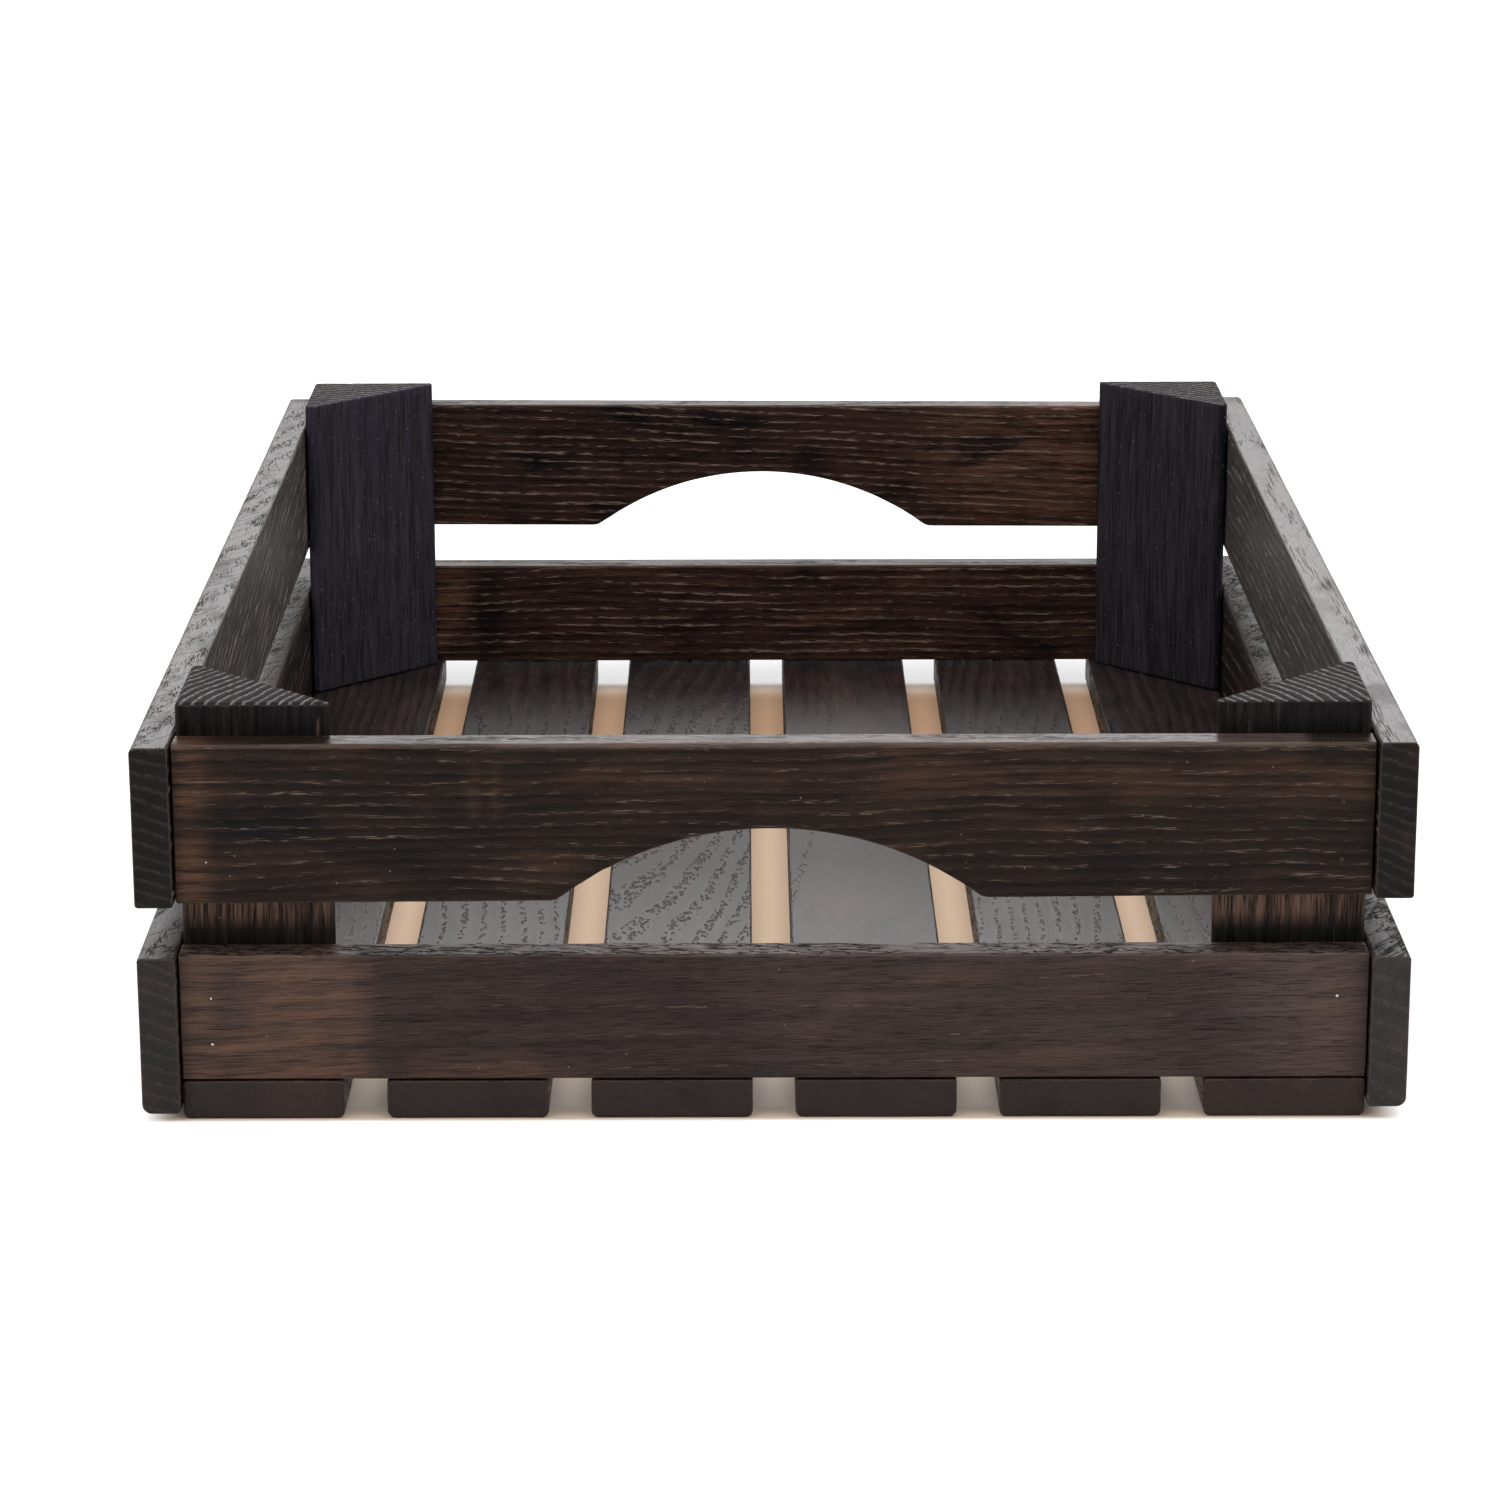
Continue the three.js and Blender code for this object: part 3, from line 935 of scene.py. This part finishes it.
@dataclass(frozen=True)
class Timber:
    """A slat or a post: its solid in the frame, its wood, its stain, its painted sheen and its wear, in
    millimetres.
    """

    node: str
    wood: Wood
    cut: Cut
    warm: tuple[Patch, ...] = ()
    black: tuple[Patch, ...] = ()
    # Patches of painted sheen, where a reflection is painted into the colour.
    painted_sheen: tuple[Patch, ...] = ()
    torn: float = 0.0
    slant: float = 0.0
    dust: float = 0.02
    seed: float = 0.0
    end_ease: float = 0.6
    wear: float = 0.2
    wave: float = 0.2

    def shared_values(self, finish: bpy.types.Material) -> dict[str, Any]:
        """The inputs that the trees of the slats and the posts share."""
        sizes = in_metres(TimberTrees.WEAR, (self.end_ease, self.wear, self.wave))
        return {**sizes, "Seed": self.seed, "Finish": finish}

    def store(self, mesh: bpy.types.Mesh) -> None:
        """Writes what the timber's wood needs to know on its mesh, as attributes.

        Args:
            mesh: the mesh, in a frame with x along the grain.
        """
        points = np.zeros(len(mesh.vertices) * 3)
        mesh.vertices.foreach_get("co", points)
        points = points.reshape(-1, 3) / MM
        facing = np.zeros(len(mesh.polygons) * 3)
        mesh.polygons.foreach_get("normal", facing)
        none = np.zeros(len(points))
        warm, black, painted_sheen = (
            sum((patch.strength(points) for patch in patches), none)
            for patches in (self.warm, self.black, self.painted_sheen)
        )
        self.write(mesh, "log", "POINT", self.cut.place(points))
        self.write(mesh, "facing", "FACE", facing)
        triples = {
            "tone": (warm, black, self.torn),
            "habit": (self.cut.ring, self.cut.pores, self.cut.streaks),
            # The middle number of film is the painted sheen.
            "film": (self.cut.coarse, painted_sheen, self.cut.band),
            "surface": (self.dust, self.slant, 0.0),
        }
        for name, parts in triples.items():
            self.write(mesh, name, "POINT", np.column_stack([part + none for part in parts]))

    @staticmethod
    def write(mesh: bpy.types.Mesh, name: str, domain: str, values: np.ndarray) -> None:
        """Adds one attribute of three numbers to the mesh."""
        layer = mesh.attributes.new(name, "FLOAT_VECTOR", domain)
        layer.data.foreach_set("vector", np.ascontiguousarray(values, dtype=np.float32).ravel())


@dataclass(frozen=True)
class Slat(Timber):
    """One slat.

    Its edges are the radii of its high, low and inner edges. Its ends are how far its low edge is
    raised at the left and at the right, and its high edge lowered. A hand hold has a chord, a rise and
    a shift along the slat.
    """

    torn: float = 0.3
    slant: float = 0.1
    dust: float = 0.03
    end_ease: float = 0.4
    wear: float = 0.25
    wave: float = 0.16
    edges: Triple = (0.8, 0.8, 0.8)
    ends: tuple[float, float, float, float] = (0.0, 0.0, 0.0, 0.0)
    hand_hold: Triple = (0.0, 0.0, 0.0)
    step: float = 2.0
    width_steps: int = 24
    thickness_steps: int = 12

    def build(self, trees: TimberTrees, finish: bpy.types.Material) -> None:
        """Makes the slat, stores what its wood needs to know, and lays it in the crate.

        Args:
            trees: the geometry trees.
            finish: the wood that it is made of.
        """
        side = Side[self.node.split("_")[0].upper()]
        middle, size = side.extent(self.node)
        length_steps = 2 * round(size.x / (self.step * MM) / 2) + 2 * (trees.EDGE_ROWS + 1)
        values = {
            **dict(zip(trees.SIZES, size)),
            **dict(zip(trees.STEPS, (length_steps, self.width_steps, self.thickness_steps))),
            **in_metres(trees.EDGES, self.edges),
            **in_metres(trees.ENDS, self.ends),
            **in_metres(trees.HAND_HOLD, self.hand_hold),
            **self.shared_values(finish),
        }
        piece = Piece.from_tree(self.node.replace("slat", "board"), trees.slat, values)
        self.store(piece.data)
        piece.data.transform(Matrix.Translation(middle) @ side.turn().to_4x4())
        Piece.settle(piece, self.wood.slot, [self.node])


@dataclass(frozen=True)
class Post(Timber):
    """A corner post, three-sided, with its heel in the corner of the crate."""

    tip_flat: float = 2.5
    heel_radius: float = 1.5
    tip_radius: float = 0.8
    points_around: int = 240
    rows: int = 52

    def build(self, trees: TimberTrees, finish: bpy.types.Material) -> None:
        """Makes the post and stands it in its corner.

        Args:
            trees: the geometry trees.
            finish: the wood that it is made of.
        """
        low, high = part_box(self.node)
        values = {
            "Leg": high.x - low.x, "Height": high.z - low.z,
            "Points Around": self.points_around, "Rows": self.rows,
            **in_metres(trees.SECTION, (self.tip_flat, self.heel_radius, self.tip_radius)),
            **self.shared_values(finish),
        }
        piece = Piece.from_tree(self.node.replace("post", "corner_post"), trees.post, values)
        grain_first = Matrix(((0, 0, 1), (1, 0, 0), (0, 1, 0)))
        piece.data.transform(grain_first.to_4x4())
        self.store(piece.data)
        piece.data.transform(grain_first.transposed().to_4x4())
        corner = Corner[self.node.removesuffix("_post").upper()]
        heel_x = low.x if "left" in self.node else high.x
        heel_y = low.y if "front" in self.node else high.y
        turn = Matrix.Rotation(corner.value * math.pi / 2, 4, "Z")
        piece.data.transform(Matrix.Translation((heel_x, heel_y, low.z)) @ turn)
        Piece.settle(piece, self.wood.slot, [self.node])


@dataclass(frozen=True)
class Brads:
    """The brads of one side of the crate, driven in from outside, in millimetres.

    BARE says how free of stain the heads are that the photograph shows so. The others are dulled by
    seeded chance, those of the front most.
    """

    side: Side
    length: float = 25.0
    shank: float = 0.45
    head: float = 0.65
    head_thickness: float = 0.6
    point: float = 2.5
    sunk: float = 0.2
    seed: int = 3

    BARE: ClassVar[Mapping[str, float]] = {
        "front_lower_brad_left_low": 0.9, "front_lower_brad_left_high": 0.65,
        "front_lower_brad_right_high": 1.0, "front_upper_brad_left_low": 0.5,
    }

    def nodes(self) -> list[str]:
        """The side's brads in the frame."""
        wall = self.side.name.lower()
        return sorted(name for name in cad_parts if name.startswith(wall) and "_brad_" in name)

    def wall_seats(self) -> list[Vector]:
        """Finds where the heads of a wall's brads lie, flush with the wood.

        Returns:
            Each head's place, in the side's own frame.
        """
        back = self.side.turn().transposed()
        extents = [self.side.extent(node) for node in self.nodes()]
        return [back @ middle + Vector((0, 0, size.z / 2 + self.sunk * MM)) for middle, size in extents]

    def floor_seats(self) -> list[Vector]:
        """Finds where the floor's brads go in: under the end walls, one in each end of each slat.

        Returns:
            Each head's place, in the floor's own frame.
        """
        seats = []
        for slat in sorted(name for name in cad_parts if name.startswith("floor_slat_")):
            middle, size = self.side.extent(slat)
            for wall in ("front_lower_slat", "back_lower_slat"):
                end_wall, _ = Side.FRONT.extent(wall)
                head = Vector((middle.x, end_wall.y, middle.z - size.z / 2))
                seats.append(self.side.turn().transposed() @ head)
        return seats

    def shine(self, count: int) -> list[float]:
        """How bare each head is of stain.

        Args:
            count: how many heads there are.

        Returns:
            A share for each head, from 0, covered, to 1, bare.
        """
        most = 0.15 if self.side is Side.FRONT else 0.7
        drawn = np.random.default_rng(self.seed).uniform(0.0, most, count)
        names = self.nodes() or [""] * count
        return [self.BARE.get(name, float(luck)) for name, luck in zip(names, drawn)]

    def build(self, trees: TimberTrees, finish: bpy.types.Material) -> None:
        """Drives a brad at each of the side's seats, all as one piece.

        Args:
            trees: the geometry trees.
            finish: the metal that they are made of.
        """
        name = self.side.name.lower()
        places = self.floor_seats() if self.side is Side.FLOOR else self.wall_seats()
        seats = bpy.data.meshes.new(name + "_brad_seats")
        seats.from_pydata(places, [], [])
        seats.attributes.new("shine", "FLOAT", "POINT").data.foreach_set("value", self.shine(len(places)))
        sizes = (self.length, self.shank, self.head, self.head_thickness, self.point)
        values = {**in_metres(trees.BRAD, sizes), "Finish": finish}
        piece = Piece.from_tree(name + "_brads", trees.brads, values, seats)
        piece.data.transform(self.side.turn().to_4x4())
        Piece.settle(piece, "brad_steel", self.nodes())


@dataclass(frozen=True)
class Studio:
    """The photographer's table, the lamps and the camera.

    SHELTERED is the ground under the crate, greyed as painted shade, and WARMED and WARMEST are where its
    wood tints the light: painted warm bounce light.
    """

    focal: float = 111.287
    sensor: float = 36.0
    place: Triple = (-6.587 * MM, -1234.13 * MM, 388.47 * MM)
    yaw: float = 0.001
    pitch: float = 0.2794
    roll: float = 0.0022
    half_floor: float = 6.0
    aim: Triple = (0.0, 0.0, 0.05)

    WHITE: ClassVar[Colour] = (1.0, 1.0, 1.0, 1.0)
    SHELTERED: ClassVar[Colour] = stain(226, 214, 202)
    WARMED: ClassVar[Colour] = stain(240, 209, 182)
    WARMEST: ClassVar[Colour] = stain(214, 174, 143)

    def camera(self) -> None:
        """Places the camera where the photograph was taken from."""
        data = bpy.data.cameras.new("Camera")
        data.lens = self.focal
        data.sensor_width = self.sensor
        camera = bpy.data.objects.new("Camera", data)
        turn = Matrix.Rotation(-self.yaw, 4, "Z") @ Matrix.Rotation(math.pi / 2 - self.pitch, 4, "X")
        camera.matrix_world = Matrix.Translation(self.place) @ turn @ Matrix.Rotation(-self.roll, 4, "Z")
        bpy.context.scene.collection.objects.link(camera)
        bpy.context.scene.camera = camera

    def floor(self) -> None:
        """Lays a wide pale floor."""
        half = self.half_floor
        corners = [(-half, -half, 0), (half, -half, 0), (half, half, 0), (-half, half, 0)]
        mesh = bpy.data.meshes.new("floor")
        mesh.from_pydata(corners, [], [(0, 1, 2, 3)])
        mesh.materials.append(self.paint())
        floor = bpy.data.objects.new("floor", mesh)
        bpy.context.scene.collection.objects.link(floor)

    def paint(self) -> bpy.types.Material:
        """The floor's white, with painted shade and warm bounce light under the crate and a painted shadow
        behind it, and clear when it is seen from below.

        Returns:
            The material.
        """
        g, material = Graph.material("Floor")
        x, y, _ = (part / MM for part in g.split(g.node("ShaderNodeTexCoord", output="Object")))
        beside = abs(x).rise(150, 140)
        under = beside * y.rise(-200, -197) * y.rise(200, 193)
        # A strip of painted light along the front edge under the crate: warmer, and with a little glow.
        front_strip = y.rise(-188, -196)
        warmed = under * y.rise(196, 183) * y.rise(-180, -155).most(front_strip * 0.6)
        warmest = y.rise(60, 150) * y.rise(192, 176)
        # A painted shadow behind the crate: the glow is dimmed there, where the back wall shades the ground.
        painted_shadow_behind = beside * y.rise(192, 200) * y.rise(260, 212)
        # Under the crate the floor is greyed as painted shade, and warmed as painted bounce light.
        colour = g.mix(under, self.WHITE, self.SHELTERED)
        colour = g.mix(warmed, colour, g.mix(warmest, self.WARMED, self.WARMEST))
        open_glow = g.between(painted_shadow_behind, x.hypotenuse(y).rise(300, 1600) * 0.5 + 0.58, 0.28)
        # Under the crate the glow is kept low, a little painted light in the gaps.
        glow_share = g.between(under, open_glow, g.between(y.rise(-190, -140), front_strip * 0.08, 0.18))
        seen = g.node("ShaderNodeLightPath", output="Is Camera Ray")
        diffuse = g.node("ShaderNodeBsdfDiffuse", {"Color": g.scaled(colour, 0.72)})
        glow = g.node("ShaderNodeEmission", {"Color": colour, "Strength": seen * glow_share})
        both = g.node("ShaderNodeAddShader", {0: diffuse, 1: glow})
        from_below = g.node("ShaderNodeNewGeometry", output="Backfacing")
        ways = {0: from_below, 1: both, 2: g.node("ShaderNodeBsdfTransparent")}
        g.make("ShaderNodeOutputMaterial", {"Surface": g.node("ShaderNodeMixShader", ways)})
        return material

    def world(self) -> None:
        """A white backdrop for the camera and for reflections, and a soft level for the rest."""
        world = bpy.data.worlds.new("Studio")
        world.use_nodes = True
        bpy.context.scene.world = world
        g = Graph(world.node_tree)
        camera = g.node("ShaderNodeLightPath", output="Is Camera Ray")
        glossy = g.node("ShaderNodeLightPath", output="Is Glossy Ray")
        _, ahead, _ = g.split(g.node("ShaderNodeTexCoord", output="Generated"))
        level = g.between(glossy, 0.55, ahead.rise(-0.6, 0.7) * 0.65 + 0.35)
        inputs = {"Color": self.WHITE, "Strength": g.between(camera, level, 1.0)}
        g.make("ShaderNodeOutputWorld", {"Surface": g.node("ShaderNodeBackground", inputs)})

    def lamp(self, name: str, place: Triple, size: Pair, watts: float) -> None:
        """Hangs a soft lamp that faces the crate.

        Args:
            name: the lamp's name.
            place: where it hangs.
            size: its width and height.
            watts: its power.
        """
        data = bpy.data.lights.new(name, "AREA")
        data.shape = "RECTANGLE"
        data.size, data.size_y = size
        data.energy = watts
        lamp = bpy.data.objects.new(name, data)
        lamp.visible_camera = False
        lamp.location = place
        lamp.rotation_euler = (Vector(self.aim) - Vector(place)).to_track_quat("-Z", "Y").to_euler()
        bpy.context.scene.collection.objects.link(lamp)

    def build(self) -> None:
        """Sets the whole studio."""
        self.camera()
        self.floor()
        self.world()
        self.lamp("Top lamp", (0.0, -0.1, 1.6), (1.6, 1.6), 14.0)
        self.lamp("Left lamp", (-1.4, -1.2, 1.1), (1.0, 1.0), 8.0)
        self.lamp("Right lamp", (1.4, -1.2, 1.1), (1.0, 1.0), 8.0)
        self.lamp("Back lamp", (0.0, 1.6, 0.85), (2.0, 0.8), 12.0)


class Crate:
    """The whole crate: its walls, floor, posts and brads."""

    WALL_WOOD = Wood(
        name="Wall wood", slot="wall_wood", dark=stain(36, 26, 22), warm=stain(90, 63, 47),
        black=stain(18, 15, 17), pore=stain(112, 94, 82), edge_pore=stain(24, 19, 17), end=stain(29, 26, 25),
        end_ring=stain(66, 60, 58), worn=stain(112, 92, 78), painted_sheen=stain(104, 88, 85), pore_length=3.4,
        pore_width=0.24, pore_amount=1.2, end_contrast=0.45, end_relief=0.1,
    )
    SIDE_WOOD = replace(
        WALL_WOOD, name="Long wall wood", dark=stain(38, 30, 28), pore=stain(144, 131, 122),
        painted_sheen=stain(106, 100, 101), pore_length=12.0, pore_width=0.34, dust=0.8,
    )
    BACK_WOOD = replace(
        WALL_WOOD, name="Back wall wood", dark=stain(53, 35, 30), warm=stain(104, 71, 54),
        pore=stain(126, 107, 93), pore_length=4.0, pore_width=0.22, pore_amount=1.4, cloud_black=0.8,
        line_depth=0.45,
    )
    FLOOR_WOOD = Wood(
        name="Floor wood", slot="floor_wood", dark=stain(48, 39, 38), warm=stain(74, 55, 48),
        black=stain(22, 20, 22), pore=stain(27, 24, 25), edge_pore=stain(22, 18, 17), end=stain(50, 41, 39),
        end_ring=stain(60, 50, 45), worn=stain(96, 80, 68), pits=True, pore_length=2.6, pore_width=1.0,
        roughness=0.36, relief=0.42, grain_relief=0.12, pore_roughness=0.12, end_contrast=0.3,
        end_relief=0.06, gloss=1.28,
    )
    POST_WOOD = Wood(
        name="Post wood", slot="post_wood", dark=stain(25, 20, 21), warm=stain(122, 93, 77),
        black=stain(13, 11, 12), pore=stain(62, 55, 56), edge_pore=stain(62, 55, 56), end=stain(17, 14, 15),
        end_ring=stain(132, 121, 123), worn=stain(72, 64, 64), painted_sheen=stain(82, 80, 106), pore_length=8.0,
        pore_width=0.4, pore_amount=0.8, roughness=0.5, end_roughness=0.3, end_contrast=1.0,
        line_depth=0.6, cloud_warmth=0.06,
    )

    RIM = (1.5, 0.8, 0.8)
    SHOD = (0.8, 2.2, 0.8)
    FLOOR_EDGES = (1.7, 1.7, 0.8)
    FINE_STEP = 1.25
    ALL_BUT_OUTSIDE = (0.0, -1.0, -4.0)
    SLANTED_FACE = (1.0, 1.0, 37.0)
    ALL_BUT_SLANTED = (-1.0, -1.0, -37.5)

    def short_walls(self) -> Iterable[Slat]:
        """Describes the front and the back.

        Yields:
            Each of their four slats.
        """
        yield Slat(
            "front_upper_slat", self.WALL_WOOD,
            Cut((-90, -30), (0.01, 0.0), 2.6, 40, pores=0.8, streaks=0.9),
            edges=self.RIM, ends=(-0.4, 1.2, 0.0, 0.0), hand_hold=(100.0, 17.3, -1.1), step=self.FINE_STEP,
            warm=(
                Patch(-137, 0, (4, 25), 0.55, 7), Patch(-70, 7, (1.5, 6), 0.5, 4),
                Patch(-65, 7, (1.0, 6), 0.5, 3), Patch(45, 12, (26, 9), 0.12, 14),
                Patch(15, 10, (58, 8), 0.14, 16),
            ),
            # A thin painted highlight runs along the high edge.
            black=(Patch(-95, -3, (36, 14), 0.42, 24),), painted_sheen=(Patch(30, 19.3, (95, 0.6), 0.6, 3),),
            slant=0.05, seed=1.0,
        )
        yield Slat(
            "front_lower_slat", self.WALL_WOOD,
            Cut((-48, -85), (0.03, 0.0), 3.2, 400, pores=0.45, streaks=0.8, band=0.4),
            warm=(
                Patch(-119, -4, (22, 22), 0.95, 10), Patch(-72, -14, (16, 4), 0.5, 8),
                Patch(132, 0, (6, 12), 0.4, 10), Patch(20, 9, (30, 3), 0.12, 10),
            ),
            black=(Patch(-128, 3, (5, 7), 0.6, 8), Patch(-104, -6, (3, 4), 0.5, 6)),
            # Painted sheen: the white floor's reflection laid over the face as a pale veil, stronger at the
            # right end, with a thin painted highlight along the high edge.
            painted_sheen=(
                Patch(0, 0, (150, 30), 0.19), Patch(126, 0, (14, 30), 0.16, 20),
                Patch(-117, 0, (24, 30), 0.06, 8), Patch(66, 0, (70, 30), 0.09, 30),
                Patch(0, 15.8, (140, 0.5), 0.35, 2),
            ),
            torn=1.15, slant=0.12, seed=2.0,
        )
        yield Slat(
            "back_upper_slat", self.BACK_WOOD,
            Cut((-90, 25), (0.04, 0.0), 2.4, 900, pores=1.6, streaks=1.3),
            edges=self.RIM, ends=(-1.0, 0.4, 0.8, -0.6), hand_hold=(103.0, 17.3, 1.1), step=self.FINE_STEP,
            warm=(Patch(-95, 0, (40, 30), 0.35, 30),), black=(Patch(60, 4, (50, 12), 0.3, 30),), seed=3.0,
        )
        yield Slat(
            "back_lower_slat", self.BACK_WOOD,
            Cut((-80, 30), (0.0, 0.0), 2.5, 1300, pores=1.6, streaks=1.4),
            warm=(Patch(100, 0, (6, 30), 0.5, 10),), black=(Patch(88, 0, (5, 14), 0.8, 10),), seed=4.0,
        )

    def long_walls(self) -> Iterable[Slat]:
        """Describes the left and the right.

        Yields:
            Each of their four slats.
        """
        # Painted sheen on the inner faces, which reflect the backdrop at a grazing angle, with a brighter
        # stretch, on the tops of the lower slats and near their ends.
        sheen_veil = Patch(0, 0, (192, 25), 0.36, 12, self.ALL_BUT_OUTSIDE)
        bright = Patch(-80, 0, (110, 25), 0.08, 60, self.ALL_BUT_OUTSIDE)
        lower_top = Patch(0, 20, (190, 4), 0.3, 3, self.ALL_BUT_OUTSIDE)
        yield Slat(
            "left_upper_slat", self.SIDE_WOOD,
            Cut((-94, 34), (-0.12, 0.0), 3.0, 2500, pores=1.1, streaks=1.4, coarse=1.1, band=1.6),
            edges=self.RIM, ends=(0.0, -0.7, 0.0, 0.0), painted_sheen=(sheen_veil, bright),
            torn=0.36, slant=0.5, dust=0.4, seed=5.0,
        )
        yield Slat(
            "left_lower_slat", self.SIDE_WOOD,
            Cut((-94, 34), (-0.08, 0.0), 3.4, 3000, pores=0.6, streaks=1.2),
            edges=self.SHOD, ends=(0.0, -0.4, 0.0, 0.0), painted_sheen=(Patch(200, 0, (4, 25), 0.13), lower_top),
            torn=0.6, slant=0.45, dust=0.6, seed=6.0,
        )
        yield Slat(
            "right_upper_slat", self.SIDE_WOOD,
            Cut((-94, -34), (-0.02, 0.0), 3.0, 3500, pores=0.65, streaks=1.5, band=1.2),
            edges=self.RIM, ends=(1.1, 0.0, -0.7, 0.0), painted_sheen=(sheen_veil,),
            torn=0.12, slant=0.1, dust=0.1, seed=7.0,
        )
        yield Slat(
            "right_lower_slat", self.SIDE_WOOD,
            Cut((-94, -34), (-0.10, 0.0), 5.0, 4000, pores=0.85, streaks=1.2, band=0.8),
            edges=self.SHOD, ends=(0.7, 0.0, 0.25, 0.0), painted_sheen=(Patch(-200, 0, (4, 25), 0.22), lower_top),
            torn=0.8, slant=0.6, dust=0.15, seed=8.0,
        )

    def floor(self) -> Iterable[Slat]:
        """Describes the floor.

        Yields:
            Each of its six slats.
        """
        cuts = (
            Cut((-60, 20), (0.0, 0.0), 3.2, 5000, 0.3), Cut((-35, 40), (0.02, 0.03), 3.4, 5500, 0.9),
            Cut((-23, 50.6), (0.0, -0.092), 3.0, 6000, band=1.5),
            Cut((-34, 24), (0.0, -0.06), 33.0, 6500, 0.9, band=0.2),
            Cut((40, 35), (0.02, 0.03), 3.2, 7000, 0.6), Cut((-50, 40), (0.0, 0.0), 3.2, 7500, 0.3),
        )
        warm = {1: (Patch(-195, 8, (5, 8), 0.8),), 6: (Patch(-195, 0, (5, 24), 0.5),)}
        for number, cut in enumerate(cuts, 1):
            yield Slat(
                f"floor_slat_{number}", self.FLOOR_WOOD, cut, edges=self.FLOOR_EDGES,
                warm=warm.get(number, ()), torn=0.7, slant=0.2, step=self.FINE_STEP, wear=0.5,
                seed=20.0 + number,
            )

    def posts(self) -> Iterable[Post]:
        """Describes the corners.

        Yields:
            Each of the four posts.
        """
        # A lighter, streaked band on the legs between the wall rows; its lower edge is set where the gap
        # falls into shade, so the part below stays dark as painted shade.
        bare = Patch(42, 18, (5, 40), 0.8, 6, self.ALL_BUT_SLANTED)
        chip = Patch(84, 33.8, (2.0, 0.2), 0.9, 0.6)
        yield Post(
            "front_left_post", self.POST_WOOD,
            Cut((84.7, -27.6), (0, 0), 2.7, 8000, pores=0.4, streaks=1.3, coarse=1.3),
            tip_radius=2.0, end_ease=1.2, warm=(bare, chip), seed=31.0,
        )
        yield Post(
            "front_right_post", self.POST_WOOD,
            Cut((-27.6, 84.7), (0, 0), 2.7, 8200, pores=0.4, streaks=1.3, coarse=1.3),
            warm=(bare,), seed=32.0,
        )
        # The back posts carry a bluish painted sheen on their slanted faces.
        yield Post(
            "back_right_post", self.POST_WOOD,
            Cut((58, 89), (0, 0), 2.6, 8400, pores=0.5, streaks=3.0, coarse=2.2),
            painted_sheen=(Patch(45, 18, (60, 60), 0.12, 6, self.SLANTED_FACE),), dust=0.3, seed=33.0,
        )
        yield Post(
            "back_left_post", self.POST_WOOD,
            Cut((98, -13), (0, 0), 2.7, 8600, pores=0.8, streaks=3.4, coarse=2.0),
            painted_sheen=(Patch(45, 18, (60, 60), 0.26, 6, self.SLANTED_FACE),),
            warm=(Patch(45, 20, (8, 6), 0.1, 12),), dust=0.7, seed=34.0,
        )

    @staticmethod
    def steel() -> bpy.types.Material:
        """Bright steel, dulled where the stain has dried on it, on some heads more than on others.

        Returns:
            The material, which reads the brads' shine and from_middle attributes.
        """
        g, material = Graph.material("Brad steel")
        spots = g.noise(g.node("ShaderNodeTexCoord", output="Object"), (0.8 * MM,) * 3, 2.0, 0.5, 0.0)
        rim = g.attribute("from_middle", "Fac").rise(0.3, 0.75)
        film = (spots * 0.5 + rim * 0.7 + 0.5 - g.attribute("shine", "Fac") * 0.8).rise(0.25, 0.6)
        inputs = {
            "Base Color": g.mix(film, stain(222, 217, 209), stain(46, 38, 33)),
            "Metallic": 1.0 - film * 0.8, "Roughness": film * 0.3 + 0.3,
        }
        g.make("ShaderNodeOutputMaterial", {"Surface": g.node("ShaderNodeBsdfPrincipled", inputs)})
        return material

    def build(self) -> None:
        """Builds every piece of the crate."""
        trees, effects = TimberTrees(), WoodEffects()
        woods = (self.WALL_WOOD, self.SIDE_WOOD, self.BACK_WOOD, self.FLOOR_WOOD, self.POST_WOOD)
        finishes = {wood.name: wood.material(effects) for wood in woods}
        for timber in (*self.short_walls(), *self.long_walls(), *self.floor(), *self.posts()):
            timber.build(trees, finishes[timber.wood.name])
        steel = self.steel()
        for side in Side:
            Brads(side).build(trees, steel)


def main() -> None:
    """Builds the studio and the crate."""
    logging.basicConfig(level=logging.INFO, format="%(name)s: %(message)s")
    bpy.context.scene.view_settings.view_transform = "Standard"
    Studio().build()
    Crate().build()


if __name__ == "__main__":
    main()
